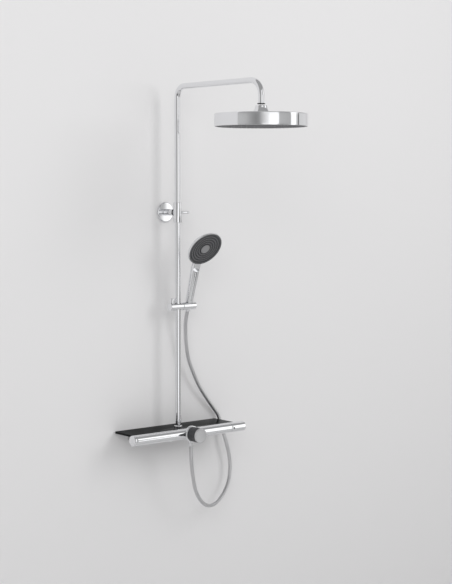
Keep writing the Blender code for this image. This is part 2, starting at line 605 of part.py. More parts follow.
# ball stud: a thread in the arm's end, a neck and a ball
STUD_THREAD = 22 * MM
STUD_TOP = ARM_END_RISE + STUD_THREAD
STUD_FOOT = ARM_END_RISE + 0.5 * MM
NECK_RADIUS = 5 * MM
ball_points = [(BALL_RADIUS * math.sin(a), BALL_RADIUS * math.cos(a))
               for a in [math.radians(35 + 145 * index / 12) for index in range(13)]]
head_y_in_arm = HEAD_Y - RISER_Y
ball_z_in_arm = BALL_Z - BRACKET_Z
STUD_RADIUS = TUBE_RADIUS - TUBE_WALL - GAP
turned("ball_stud",
       [(0, STUD_TOP), (STUD_RADIUS, STUD_TOP), (STUD_RADIUS, STUD_FOOT), (NECK_RADIUS, STUD_FOOT)] + ball_points,
       CHROME, (0, head_y_in_arm, ball_z_in_arm), UP, TUBE_SIDES, arm_axis)
ARM_SEAL_RADIUS = TUBE_RADIUS + 2.5 * MM
ARM_SEAL_DEPTH = 3.2 * MM
sleeve("arm_seal_ring", ARM_SEAL_RADIUS, NECK_RADIUS + GAP, ARM_SEAL_DEPTH, BLACK_RUBBER,
       (0, head_y_in_arm, ARM_END - BRACKET_Z - GAP - ARM_SEAL_DEPTH), UP, TUBE_SIDES, arm_axis)

# ---------------------------------------------------------------- rain head
head_axis = guide("head_axis", (0, HEAD_Y, BALL_Z))
SEAT_RADIUS = 11.5 * MM
SEAT_HALF = 4.4 * MM


def sphere_arc(radius, top, bottom, count):
    """Outline points on a sphere between two heights."""
    start = math.acos(top / radius)
    end = math.acos(bottom / radius)
    turns = [start + (end - start) * index / count for index in range(count + 1)]
    return [(radius * math.sin(a), radius * math.cos(a)) for a in turns]


seat_inner = sphere_arc(BALL_RADIUS + GAP, -SEAT_HALF, SEAT_HALF, 6)
turned("ball_seat", sphere_arc(SEAT_RADIUS, SEAT_HALF, -SEAT_HALF, 6) + seat_inner, WHITE_PLASTIC,
       (0, 0, 0), UP, MEDIUM, head_axis, ring=True)

NUT_FOOT = -BALL_RISE + GAP
NUT_TOP = 7 * MM
MOUTH_RADIUS = 11 * MM          # the tilted seat rises into it
MOUTH_TOP = SEAT_HALF + 1 * MM
cavity = sphere_arc(SEAT_RADIUS + GAP, -9.5 * MM, SEAT_HALF + GAP, 9)
STUB_RADIUS = 9 * MM
STUB_FOOT = NUT_FOOT - 9 * MM
STUB_BORE_RADIUS = 6 * MM
turned("swivel_nut",
       eased((MOUTH_RADIUS, MOUTH_TOP), (15.5 * MM, MOUTH_TOP), (16 * MM, NUT_TOP), (18.5 * MM, NUT_TOP, 0.8 * MM),
             (20 * MM, -2 * MM), (27 * MM, -13 * MM, 2 * MM), (28 * MM, NUT_FOOT), (STUB_RADIUS, NUT_FOOT),
             (STUB_RADIUS, STUB_FOOT), (STUB_BORE_RADIUS, STUB_FOOT), (STUB_BORE_RADIUS, -9.8 * MM))
       + cavity,
       CHROME, (0, 0, 0), UP, MEDIUM, head_axis, ring=True)
rod("flow_limiter", 5.6 * MM, 5 * MM, WHITE_PLASTIC, (0, 0, STUB_FOOT + 1 * MM), UP, COARSE, head_axis)

HEAD_FOOT = -BALL_RISE - HEAD_HEIGHT
SHELL_TOP = -BALL_RISE
SHELL_INNER = HEAD_RADIUS - HEAD_WALL
HOLE = STUB_RADIUS + GAP
turned("head_shell",
       eased((HOLE, SHELL_TOP), (HEAD_RADIUS, SHELL_TOP, 4 * MM), (HEAD_RADIUS, HEAD_FOOT, MM),
             (SHELL_INNER, HEAD_FOOT), (SHELL_INNER, SHELL_TOP - HEAD_WALL), (HOLE, SHELL_TOP - HEAD_WALL)),
       CHROME, (0, 0, 0), UP, FINE, head_axis, ring=True)
PLATE_FOOT = HEAD_FOOT + 0.8 * MM
PLATE_THICKNESS = 3 * MM
rod("head_spray_plate", SHELL_INNER - GAP, PLATE_THICKNESS, DARK_FACE, (0, 0, PLATE_FOOT), UP, FINE, head_axis)
MAT_FOOT = PLATE_FOOT + PLATE_THICKNESS + GAP
MAT_THICKNESS = 2.5 * MM
rod("head_nozzle_mat", SHELL_INNER - MM, MAT_THICKNESS, SILICONE, (0, 0, MAT_FOOT), UP, FINE, head_axis)
CHAMBER_FOOT = MAT_FOOT + MAT_THICKNESS + GAP
CHAMBER_HEIGHT = 12 * MM
CHAMBER_WALL = 3 * MM
CHAMBER_TOP = CHAMBER_FOOT + CHAMBER_HEIGHT
CHAMBER_RADIUS = HEAD_RADIUS - 10 * MM
CHIMNEY_TOP = SHELL_TOP - HEAD_WALL - GAP
turned("head_water_chamber",
       [(STUB_RADIUS + MM, CHIMNEY_TOP), (13 * MM, CHIMNEY_TOP), (13 * MM, CHAMBER_TOP),
        (CHAMBER_RADIUS, CHAMBER_TOP), (CHAMBER_RADIUS, CHAMBER_FOOT),
        (CHAMBER_RADIUS - CHAMBER_WALL, CHAMBER_FOOT),
        (CHAMBER_RADIUS - CHAMBER_WALL, CHAMBER_TOP - CHAMBER_WALL),
        (STUB_RADIUS + MM, CHAMBER_TOP - CHAMBER_WALL)],
       WHITE_PLASTIC, (0, 0, 0), UP, 36, head_axis, ring=True)

# ---------------------------------------------------------------- slider
slider_axis = guide("slider_axis", (0, RISER_Y, SLIDER_Z))
BUTTON_RADIUS = 9.5 * MM
BUTTON_X_ON_SLIDER = -(TUBE_RADIUS + BUTTON_RADIUS + 3.5 * MM)
BUTTON_TOP = 30 * MM
BUTTON_FOOT = 3 * MM
POCKET_FLOOR = -4 * MM
SLIDER_BUSH_RADIUS = TUBE_RADIUS + 1.4 * MM
SLIDER_BUSH_HALF = 7.5 * MM
PIVOT_RADIUS = 4.5 * MM
PIVOT_START = SLIDER_BUSH_RADIUS + 1.2 * MM
PIVOT_END = 33.5 * MM
slider = rod("slider_body", SLIDER_RADIUS, SLIDER_LEFT + SLIDER_SPLIT_X, CHROME, (-SLIDER_LEFT, 0, 0), RIGHT,
             MEDIUM, slider_axis, MM)
cut(slider,
    rod("slider_bore", SLIDER_BUSH_RADIUS + GAP, 40 * MM, CHROME, (0, 0, -20 * MM), UP, TUBE_SIDES, slider_axis),
    rod("button_pocket", BUTTON_RADIUS + GAP, 30 * MM, CHROME, (BUTTON_X_ON_SLIDER, 0, POCKET_FLOOR), UP,
        TUBE_SIDES, slider_axis),
    rod("pivot_way", PIVOT_RADIUS + GAP, 12 * MM, CHROME, (SLIDER_SPLIT_X - 10 * MM, 0, 0), RIGHT, COARSE,
        slider_axis))
sleeve("slider_bush", SLIDER_BUSH_RADIUS, TUBE_RADIUS + GAP, 2 * SLIDER_BUSH_HALF, WHITE_PLASTIC,
       (0, 0, -SLIDER_BUSH_HALF), UP, TUBE_SIDES, slider_axis)
rod("slider_button", BUTTON_RADIUS, BUTTON_TOP - BUTTON_FOOT, CHROME, (BUTTON_X_ON_SLIDER, 0, BUTTON_FOOT), UP,
    TUBE_SIDES, slider_axis, MM)
rod("holder_pivot", PIVOT_RADIUS, PIVOT_END - PIVOT_START, STEEL, (PIVOT_START, 0, 0), RIGHT, COARSE, slider_axis)

SPRING_TURNS = 3
SPRING_RADIUS = 6 * MM
SPRING_WIRE = 0.7 * MM
spring_height = BUTTON_FOOT - POCKET_FLOOR - 2 * SPRING_WIRE - 2 * GAP
spring_points = []
for index in range(SPRING_TURNS * 8 + 1):
    angle = index * math.pi / 4
    spring_points.append((SPRING_RADIUS * math.cos(angle), SPRING_RADIUS * math.sin(angle),
                          spring_height * index / (SPRING_TURNS * 8)))
spring = path_curve("slider_button_spring", spring_points, SPRING_WIRE, STEEL, 0, True)
place(spring, (BUTTON_X_ON_SLIDER, 0, POCKET_FLOOR + SPRING_WIRE + GAP), UP, slider_axis)

# holder: the right half of the cylinder, which tilts on the pivot
CONE_TOP_RADIUS = 10.4 * MM
CONE_FOOT_RADIUS = 9.0 * MM
CONE_HALF = SLIDER_RADIUS + MM
CONE_FOOT = -SLIDER_RADIUS - 5 * MM
handset_axis = guide("handset_axis", (HANDSET_X, RISER_Y, SLIDER_Z), (HANDSET_LEAN, 0, 0))
holder = rod("holder_barrel", SLIDER_RADIUS, SLIDER_RIGHT - SLIDER_SPLIT_X - GAP, CHROME,
             (SLIDER_SPLIT_X + GAP, 0, 0), RIGHT, MEDIUM, slider_axis, MM)
cone_slope = (CONE_TOP_RADIUS - CONE_FOOT_RADIUS) / (CONE_HALF - CONE_FOOT)
over = 6 * MM
cut(holder,
    turned("holder_cone",
           [(0, CONE_HALF + over), (CONE_TOP_RADIUS + GAP + cone_slope * over, CONE_HALF + over),
            (CONE_FOOT_RADIUS + GAP - cone_slope * over, CONE_FOOT - over), (0, CONE_FOOT - over)],
           CHROME, (0, 0, 0), UP, MEDIUM, handset_axis),
    rod("pivot_way_in_holder", PIVOT_RADIUS + GAP, 20 * MM, CHROME, (SLIDER_SPLIT_X - 4 * MM, 0, 0), RIGHT,
        COARSE, slider_axis))

# ---------------------------------------------------------------- handset
turned("hose_nut_handset",
       [(5 * MM, CONE_HALF), (CONE_TOP_RADIUS, CONE_HALF), (CONE_FOOT_RADIUS, CONE_FOOT), (5 * MM, CONE_FOOT)],
       CHROME, (0, 0, 0), UP, MEDIUM, handset_axis, ring=True)

face_axis = guide("face_axis", FACE_CENTRE, (FACE_LEAN - HANDSET_LEAN, 0, 0))
face_axis.parent = handset_axis
HANDLE_LINE_MM = [(0, 22, 13.2), (0, 60, 14), (0, 100, 15), (0.5, 130, 15.8),
                  (-0.5, 155, 15.6), (-5, 177, 14), (-11, 195, 11), (-16, 206, 7)]
handle_path = [(0, 0, CONE_HALF + GAP)] + [(0, y * MM, s * MM) for y, s, radius in HANDLE_LINE_MM]
handle_radii = [12.6 * MM] + [radius * MM for y, s, radius in HANDLE_LINE_MM]

turned("handset_shell",
       eased((0, 0), (HANDSET_RADIUS - MM, 0), (HANDSET_RADIUS, -MM), (HANDSET_RADIUS, -5 * MM),
             (HANDSET_RADIUS - 3 * MM, -10 * MM), (HANDSET_RADIUS - 12 * MM, -16 * MM),
             (HANDSET_RADIUS - 28 * MM, -20 * MM), (20 * MM, -HANDSET_DEPTH), (0, -HANDSET_DEPTH)),
       CHROME, (0, 0, 0), UP, 36, face_axis)
shell = bpy.data.objects["handset_shell"]
handle_solid = path_curve("handle_solid", handle_path, 15 * MM, CHROME, 8, True, handle_radii)
place(handle_solid, (0, 0, 0), UP, handset_axis)
join(shell, as_mesh(handle_solid))
FACE_RADIUS = HANDSET_RADIUS - 2.4 * MM
handle_bore = path_curve("handle_bore", [(0, y * MM, s * MM) for y, s in
                                         ((0, 10), (0, 150), (-6, 176), (-14, 190))],
                         7 * MM, CHROME, 3, True)
place(handle_bore, (0, 0, 0), UP, handset_axis)
cut(shell,
    rod("face_trim", HANDSET_RADIUS + 20 * MM, 30 * MM, CHROME, (0, 0, 0.02 * MM), UP, 36, face_axis),
    turned("head_cavity",
           [(0, 10 * MM), (FACE_RADIUS, 10 * MM), (FACE_RADIUS, -8 * MM), (HANDSET_RADIUS - 14 * MM, -13 * MM),
            (HANDSET_RADIUS - 30 * MM, -17 * MM), (18 * MM, -18.5 * MM), (0, -18.5 * MM)],
           CHROME, (0, 0, 0), UP, 36, face_axis),
    as_mesh(handle_bore))

SELECT_RADIUS = 17 * MM
PLATE_DROP = 0.6 * MM
FACE_PLATE = 3 * MM
sleeve("handset_face", FACE_RADIUS - GAP, SELECT_RADIUS + GAP, FACE_PLATE, DARK_FACE,
       (0, 0, -PLATE_DROP - FACE_PLATE), UP, 36, face_axis)
MANIFOLD_DEPTH = 7 * MM
manifold_top = -PLATE_DROP - FACE_PLATE - GAP
sleeve("handset_manifold", HANDSET_RADIUS - 16 * MM, SELECT_RADIUS + GAP, MANIFOLD_DEPTH, WHITE_PLASTIC,
       (0, 0, manifold_top - MANIFOLD_DEPTH), UP, MEDIUM, face_axis)
SELECT_DEPTH = 7 * MM
SELECT_PROUD = 1.0 * MM
rod("select_button", SELECT_RADIUS, SELECT_DEPTH, SATIN, (0, 0, SELECT_PROUD - SELECT_DEPTH), UP, MEDIUM,
    face_axis, MM)

# ---------------------------------------------------------------- hose and its fittings
NIPPLE_TOP = OUTLET_BOSS_END - GAP
NIPPLE_LENGTH = 5 * MM
HOSE_FITTING_BORE = 5 * MM
sleeve("hose_nipple", 8.8 * MM, HOSE_FITTING_BORE, NIPPLE_LENGTH, CHROME,
       (OUTLET_X, BAR_Y, NIPPLE_TOP - NIPPLE_LENGTH), UP, TUBE_SIDES, None, 0.6 * MM)
nut_top = NIPPLE_TOP - NIPPLE_LENGTH - GAP
hose_start = Vector(HOSE_ROUTE_MM[0]) * MM
turned("hose_nut_mixer",
       [(HOSE_FITTING_BORE, nut_top), (8.6 * MM, nut_top), (7.4 * MM, hose_start.z + GAP),
        (HOSE_FITTING_BORE, hose_start.z + GAP)],
       CHROME, (OUTLET_X, BAR_Y, 0), UP, TUBE_SIDES, None, ring=True)
route = [Vector(point) * MM for point in HOSE_ROUTE_MM]
path_curve("hose", smooth_path(route, HOSE_STEP), HOSE_RADIUS, HOSE_METAL, 2, True)
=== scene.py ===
"""Looks of a wall-mounted shower column: bar mixer, glass shelf, riser, swivel arm, rain head and handset.

Metres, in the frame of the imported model: the wall is y = 0, the room is towards -Y and +Z is up.
"""
import json
import math

import bmesh
import bpy
from mathutils import Matrix, Vector


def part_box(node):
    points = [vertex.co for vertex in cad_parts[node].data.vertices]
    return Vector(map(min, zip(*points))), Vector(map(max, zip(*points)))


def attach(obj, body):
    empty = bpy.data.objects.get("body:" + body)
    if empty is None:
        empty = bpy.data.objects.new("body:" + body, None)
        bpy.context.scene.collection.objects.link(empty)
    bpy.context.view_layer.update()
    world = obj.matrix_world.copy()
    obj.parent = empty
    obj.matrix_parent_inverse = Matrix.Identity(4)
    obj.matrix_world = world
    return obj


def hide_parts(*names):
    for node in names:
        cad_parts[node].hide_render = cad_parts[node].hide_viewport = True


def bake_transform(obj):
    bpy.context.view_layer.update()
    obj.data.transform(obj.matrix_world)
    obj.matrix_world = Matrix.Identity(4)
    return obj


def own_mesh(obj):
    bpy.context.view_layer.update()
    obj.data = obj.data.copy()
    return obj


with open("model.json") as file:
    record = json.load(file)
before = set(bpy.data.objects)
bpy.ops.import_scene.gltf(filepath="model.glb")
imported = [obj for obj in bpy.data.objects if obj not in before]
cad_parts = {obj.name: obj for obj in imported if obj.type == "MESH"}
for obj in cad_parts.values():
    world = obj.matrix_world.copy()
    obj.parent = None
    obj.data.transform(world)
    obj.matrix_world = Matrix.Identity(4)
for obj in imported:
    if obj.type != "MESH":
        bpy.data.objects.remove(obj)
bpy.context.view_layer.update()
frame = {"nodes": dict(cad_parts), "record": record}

MM = 0.001
GAP = 0.3 * MM
TINY = 1e-7
SIDES = 96  # facets round a large turned piece
SMALL_SIDES = 48
SHARP_ANGLE = math.radians(38)

RIGHT = Vector((1, 0, 0))
LEFT = Vector((-1, 0, 0))
FRONT = Vector((0, -1, 0))
WALLWARD = Vector((0, 1, 0))
UP = Vector((0, 0, 1))
DOWN = Vector((0, 0, -1))

BODIES = frame["record"]["behaviour"]["bodies"]
SLOTS = {row["node"]: row["material_slot"] for row in frame["record"]["subparts"]}


def placed(name, data):
    """An object in the scene from its data."""
    made = bpy.data.objects.new(name, data)
    bpy.context.scene.collection.objects.link(made)
    return made


# ---------------------------------------------------------------- camera
CAMERA_AT = Vector((-2.975, -3.953, 0.855))
CAMERA_YAW = math.radians(39.435)  # turned from +Y towards +X
CAMERA_PITCH = math.radians(4.342)  # looks down
CAMERA_LENS = 87.54


def set_camera():
    """The viewer stands to the left of the column, about four metres out."""
    data = bpy.data.cameras.new("viewer")
    data.lens = CAMERA_LENS
    viewer = placed("viewer", data)
    viewer.location = CAMERA_AT
    viewer.rotation_euler = (math.radians(90) - CAMERA_PITCH, 0, -CAMERA_YAW)
    bpy.context.scene.camera = viewer


# ---------------------------------------------------------------- shader groups
def new_group(name, inputs, outputs):
    """A shader node group with float inputs as (name, default) and outputs as (name, socket type)."""
    tree = bpy.data.node_groups.new(name, "ShaderNodeTree")
    for label, value in inputs:
        socket = tree.interface.new_socket(label, in_out="INPUT", socket_type="NodeSocketFloat")
        socket.default_value = value
    for label, kind in outputs:
        tree.interface.new_socket(label, in_out="OUTPUT", socket_type=kind)
    return tree, tree.nodes.new("NodeGroupInput"), tree.nodes.new("NodeGroupOutput")


def feed(tree, socket, value):
    """Drive an input from another socket, or set it to a number, a place, a colour or a grey level."""
    if isinstance(value, bpy.types.NodeSocket):
        tree.links.new(value, socket)
    elif socket.type != "RGBA":
        socket.default_value = value
    elif isinstance(value, (int, float)):
        socket.default_value = (value, value, value, 1)
    else:
        socket.default_value = (*value, 1)


def add(tree, kind, inputs=(), **settings):
    """A node with its settings, and with inputs fed by name."""
    node = tree.nodes.new(kind)
    for label, value in settings.items():
        setattr(node, label, value)
    for label, value in dict(inputs).items():
        feed(tree, node.inputs[label], value)
    return node


def maths(tree, operation, first, second):
    """A Math node fed by sockets or numbers."""
    node = add(tree, "ShaderNodeMath", operation=operation)
    for socket, value in zip(node.inputs, (first, second)):
        feed(tree, socket, value)
    return node.outputs[0]


def blended(tree, factor, first, second, blend_type="MIX"):
    """Two colours mixed by a factor; each is a socket, a colour or a grey level."""
    mix = add(tree, "ShaderNodeMix", data_type="RGBA", blend_type=blend_type)
    for label, value in (("Factor", factor), ("A", first), ("B", second)):
        feed(tree, mix.inputs[label], value)
    return mix.outputs["Result"]


def surface_place(tree):
    """Where a point of the surface lies, in metres."""
    return tree.nodes.new("ShaderNodeTexCoord").outputs["Object"]


def noise_value(tree, scale, detail):
    """A noise pattern between 0 and 1 over the surface; scale is a number or a socket."""
    noise = {"Detail": detail, "Scale": scale, "Vector": surface_place(tree)}
    return add(tree, "ShaderNodeTexNoise", noise).outputs["Fac"]


def distance_from(tree, point):
    """How far the surface is from a point, given as a socket or a place."""
    node = add(tree, "ShaderNodeVectorMath", operation="DISTANCE")
    feed(tree, node.inputs[0], surface_place(tree))
    feed(tree, node.inputs[1], point)
    return node.outputs["Value"]


SMEAR_SCALE = 9.0  # smears in a metre
PATCH_SCALE = 14.0  # patches of dried drops in a metre
PATCH_LEVEL = 0.56  # drops show where the patches are stronger than this
DROP_SIZE = 0.13  # radius of a drop, as a share of its cell
BROAD_SCALE = 22.0  # slow changes over a grained surface, in a metre


def wiped_surface_group():
    """Roughness of a wiped surface: broad hazy smears and small dried drops."""
    tree, given, out = new_group(
        "wiped_surface",
        [("Roughness", 0.05), ("Haze", 0.04), ("Drops", 0.1), ("Drop Scale", 260.0)],
        [("Roughness", "NodeSocketFloat")])
    haze = maths(tree, "MULTIPLY", noise_value(tree, SMEAR_SCALE, 3.0), given.outputs["Haze"])
    cells = add(tree, "ShaderNodeTexVoronoi",
                {"Vector": surface_place(tree), "Scale": given.outputs["Drop Scale"]})
    spot = maths(tree, "LESS_THAN", cells.outputs["Distance"], DROP_SIZE)
    patch = maths(tree, "GREATER_THAN", noise_value(tree, PATCH_SCALE, 1.0), PATCH_LEVEL)
    drops = maths(tree, "MULTIPLY", maths(tree, "MULTIPLY", spot, patch), given.outputs["Drops"])
    total = maths(tree, "ADD", maths(tree, "ADD", given.outputs["Roughness"], haze), drops)
    feed(tree, out.inputs["Roughness"], total)
    return tree


def fine_grain_group():
    """Colour shade, roughness and height of a finely textured surface."""
    tree, given, out = new_group(
        "fine_grain",
        [("Scale", 900.0), ("Roughness", 0.4), ("Roughness Spread", 0.1), ("Shade Spread", 0.1)],
        [("Shade", "NodeSocketFloat"), ("Roughness", "NodeSocketFloat"), ("Height", "NodeSocketFloat")])
    grain = noise_value(tree, given.outputs["Scale"], 2.0)
    centred = maths(tree, "SUBTRACT", noise_value(tree, BROAD_SCALE, 3.0), 0.5)
    spread = maths(tree, "MULTIPLY", centred, given.outputs["Roughness Spread"])
    feed(tree, out.inputs["Roughness"], maths(tree, "ADD", given.outputs["Roughness"], spread))
    mixed = maths(tree, "ADD", centred, maths(tree, "SUBTRACT", grain, 0.5))
    shade = maths(tree, "MULTIPLY", mixed, given.outputs["Shade Spread"])
    feed(tree, out.inputs["Shade"], maths(tree, "ADD", shade, 1.0))
    feed(tree, out.inputs["Height"], grain)
    return tree


def turned_lines_group():
    """Height and roughness of the fine lines that a lathe leaves round a centre."""
    tree, given, out = new_group(
        "turned_lines",
        [("Centre X", 0.0), ("Centre Y", 0.0), ("Centre Z", 0.0), ("Lines", 2500.0),
         ("Roughness", 0.3), ("Spread", 0.15)],
        [("Roughness", "NodeSocketFloat"), ("Height", "NodeSocketFloat")])
    centre = add(tree, "ShaderNodeCombineXYZ", {axis: given.outputs[f"Centre {axis}"] for axis in "XYZ"})
    reach = distance_from(tree, centre.outputs["Vector"])
    spaced = maths(tree, "MULTIPLY", reach, given.outputs["Lines"])
    line = add(tree, "ShaderNodeTexNoise", {"Scale": 1.0, "Detail": 2.0, "W": spaced}, noise_dimensions="1D")
    centred = maths(tree, "SUBTRACT", line.outputs["Fac"], 0.5)
    spread = maths(tree, "MULTIPLY", centred, given.outputs["Spread"])
    feed(tree, out.inputs["Roughness"], maths(tree, "ADD", given.outputs["Roughness"], spread))
    feed(tree, out.inputs["Height"], line.outputs["Fac"])
    return tree


WIPED = wiped_surface_group()
GRAIN = fine_grain_group()
LINES = turned_lines_group()


# ---------------------------------------------------------------- finishes
def start_material(name, colour, metallic=0.0, roughness=0.5, **sockets):
    """A material with its Principled shader's constant sockets set."""
    made = bpy.data.materials.new(name)
    made.use_nodes = True
    shader = made.node_tree.nodes["Principled BSDF"]
    constants = {"Base Color": colour, "Metallic": metallic, "Roughness": roughness, **sockets}
    for label, value in constants.items():
        feed(made.node_tree, shader.inputs[label.replace("_", " ")], value)
    return made, made.node_tree, shader


def place_group(tree, group, **values):
    """A node group in a material, with its inputs set by name."""
    inputs = {label.replace("_", " "): value for label, value in values.items()}
    return add(tree, "ShaderNodeGroup", inputs, node_tree=group)


def bump(tree, shader, height, distance):
    """Feed a height to the shader's normal."""
    node = add(tree, "ShaderNodeBump", {"Distance": distance, "Height": height})
    feed(tree, shader.inputs["Normal"], node.outputs["Normal"])


def wiped_metal(name, colour, roughness, haze, drops):
    """Polished metal with hazy smears and dried drops."""
    made, tree, shader = start_material(name, colour, metallic=1.0)
    wiped = place_group(tree, WIPED, Roughness=roughness, Haze=haze, Drops=drops)
    feed(tree, shader.inputs["Roughness"], wiped.outputs["Roughness"])
    return made


def grained(name, colour, roughness, scale, depth, metallic=0.0, shade=0.1, spread=0.1, **sockets):
    """A moulded, cast or rubbed surface with a fine grain."""
    made, tree, shader = start_material(name, colour, metallic=metallic, **sockets)
    grain = place_group(tree, GRAIN, Scale=scale, Roughness=roughness, Roughness_Spread=spread,
                        Shade_Spread=shade)
    feed(tree, shader.inputs["Roughness"], grain.outputs["Roughness"])
    feed(tree, shader.inputs["Base Color"], blended(tree, 1.0, colour, grain.outputs["Shade"], "MULTIPLY"))
    bump(tree, shader, grain.outputs["Height"], depth)
    return made


def lathe_turned(name, colour, roughness, centre, lines, depth):
    """Metal with fine turned lines round a centre."""
    made, tree, shader = start_material(name, colour, metallic=1.0)
    rings = place_group(tree, LINES, Centre_X=centre.x, Centre_Y=centre.y, Centre_Z=centre.z,
                        Lines=lines, Roughness=roughness)
    feed(tree, shader.inputs["Roughness"], rings.outputs["Roughness"])
    bump(tree, shader, rings.outputs["Height"], depth)
    return made


COAT_PER_HAZE = 3.0  # how strongly the shelf's clear coat shows for its roughness


def shelf_glass():
    """Black glass: a dull, nearly black body under a thin clear coat that shows more where it is hazy."""
    made, tree, shader = start_material("shelf_black_glass", (0.004, 0.005, 0.005), IOR=1.5,
                                        Specular_IOR_Level=0.0, Coat_Roughness=0.06)
    wiped = place_group(tree, WIPED, Roughness=0.06, Haze=0.06, Drops=0.1, Drop_Scale=170.0)
    coat = maths(tree, "MULTIPLY", wiped.outputs["Roughness"], COAT_PER_HAZE)
    feed(tree, shader.inputs["Coat Weight"], coat)
    return made


# a grained finish gives its colour, its roughness, its grains in a metre and their depth
FINISHES = {
    "chrome": wiped_metal("polished_chrome", (0.83, 0.835, 0.85), 0.035, 0.05, 0.07),
    "satin_metal": grained("satin_metal", (0.62, 0.62, 0.64), 0.34, 1400.0, 0.02 * MM, metallic=0.9),
    "brass": grained("raw_brass", (0.72, 0.53, 0.26), 0.36, 900.0, 0.02 * MM, metallic=1.0),
    "hose_metal": grained("hose_metal", (0.62, 0.62, 0.63), 0.32, 700.0, 0.02 * MM, metallic=0.95),
    "dark_plastic": grained("charcoal_plastic", (0.05, 0.051, 0.055), 0.4, 1200.0, 0.03 * MM, shade=0.3,
                            Specular_IOR_Level=0.35),
    "black_rubber": grained("black_rubber", (0.012, 0.012, 0.013), 0.55, 800.0, 0.03 * MM, shade=0.4),
    "black_glass": shelf_glass(),
    "grey_silicone": grained("grey_silicone", (0.24, 0.24, 0.25), 0.55, 600.0, 0.02 * MM),
    "white_plastic": grained("natural_plastic", (0.72, 0.72, 0.70), 0.42, 700.0, 0.02 * MM),
    "steel": grained("plain_steel", (0.5, 0.5, 0.5), 0.36, 600.0, 0.02 * MM, metallic=1.0),
}


# ---------------------------------------------------------------- shape helpers
def frame_along(point, direction):
    """A matrix whose local Z runs from the point along the direction."""
    return Matrix.Translation(point) @ UP.rotation_difference(direction).to_matrix().to_4x4()


def upright(x, y, z):
    """A frame at a place, with its local Z upwards."""
    return frame_along(Vector((x, y, z)), UP)


def facing(x, y, z):
    """A frame at a place, with its local Z out into the room."""
    return frame_along(Vector((x, y, z)), FRONT)


def middle_of(node):
    """Centre of a node's box."""
    low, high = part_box(node)
    return (low + high) / 2


def spans(node, axis):
    """Low and high corners of a node's box, and its length along x, y or z."""
    low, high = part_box(node)
    return low, high, getattr(high, axis) - getattr(low, axis)


def arc(radius, start, end, count):
    """Outline points on a circle about the origin, between two angles from the top in degrees."""
    turns = [math.radians(start + (end - start) * index / count) for index in range(count + 1)]
    return [(radius * math.sin(turn), radius * math.cos(turn)) for turn in turns]


def rounded(*corners, steps=5):
    """Outline points from corners of (radius, height), or (radius, height, rounding)."""
    flat = [Vector(corner[:2]) for corner in corners]
    points = []
    for index, corner in enumerate(corners):
        if len(corner) < 3:
            points.append(flat[index])
            continue
        here = flat[index]
        before = (flat[index - 1] - here).normalized() * corner[2]
        after = (flat[(index + 1) % len(flat)] - here).normalized() * corner[2]
        for step in range(steps + 1):
            t = step / steps
            points.append(here + before * (1 - t) ** 2 + after * t ** 2)
    return points


def skin(shape, rows, closed):
    """Faces between rows of vertices that run round a piece; a row of one vertex is a pole."""
    pairs = list(zip(rows, rows[1:]))
    if closed:
        pairs.append((rows[-1], rows[0]))
    for upper, lower in pairs:
        count = max(len(upper), len(lower))
        for index in range(count):
            after = (index + 1) % count
            corners = [upper[index % len(upper)], upper[after % len(upper)],
                       lower[after % len(lower)], lower[index % len(lower)]]
            corners = list(dict.fromkeys(corners))
            if len(corners) > 2:
                shape.faces.new(corners)


def add_turned(shape, outline, place, sides=SIDES, ring=False, swell=None):
    """Add a turned form to a shape. swell gives an extra radius from (angle, radius, height)."""
    rows = []
    for radius, height in outline:
        if radius < TINY:
            rows.append([shape.verts.new(place @ Vector((0, 0, height)))])
            continue
        row = []
        for index in range(sides):
            angle = math.tau * index / sides
            reach = radius + (swell(angle, radius, height) if swell else 0)
            point = Vector((reach * math.cos(angle), reach * math.sin(angle), height))
            row.append(shape.verts.new(place @ point))
        rows.append(row)
    skin(shape, rows, ring)


def dress(data, finish):
    """Give a mesh one finish, smooth apart from its real edges."""
    data.materials.clear()
    data.materials.append(finish)
    data.shade_smooth()
    data.set_sharp_from_angle(angle=SHARP_ANGLE)


def new_piece(name, shape, slot):
    """An object from a shape."""
    bmesh.ops.recalc_face_normals(shape, faces=shape.faces)
    data = bpy.data.meshes.new(name)
    shape.to_mesh(data)
    shape.free()
    dress(data, FINISHES[slot])
    return placed(name, data)


def turned(name, slot, outline, place, sides=SIDES, ring=False, swell=None):
    """A turned piece."""
    shape = bmesh.new()
    add_turned(shape, outline, place, sides, ring, swell)
    return new_piece(name, shape, slot)


def rod(name, slot, radius, length, point, direction, ease=0.5 * MM, sides=SIDES, rows=1):
    """A round bar from a point along a direction, with eased ends."""
    side = [(radius, length * index / rows) for index in range(1, rows)]
    foot = (radius, 0, ease) if ease else (radius, 0)
    top = (radius, length, ease) if ease else (radius, length)
    outline = rounded((0, 0), foot, *side, top, (0, length))
    return turned(name, slot, outline, frame_along(point, direction), sides)


def way(radius, length, point, direction, sides=SIDES):
    """A round tool to cut a way with."""
    return rod("way", "chrome", radius, length, point, direction, 0, sides)


def sleeve(name, slot, outer, inner, length, point, direction, ease=0.5 * MM, sides=SIDES):
    """A round tube from a point along a direction, with eased outer ends."""
    outline = rounded((inner, 0), (outer, 0, ease), (outer, length, ease), (inner, length))
    return turned(name, slot, outline, frame_along(point, direction), sides, ring=True)


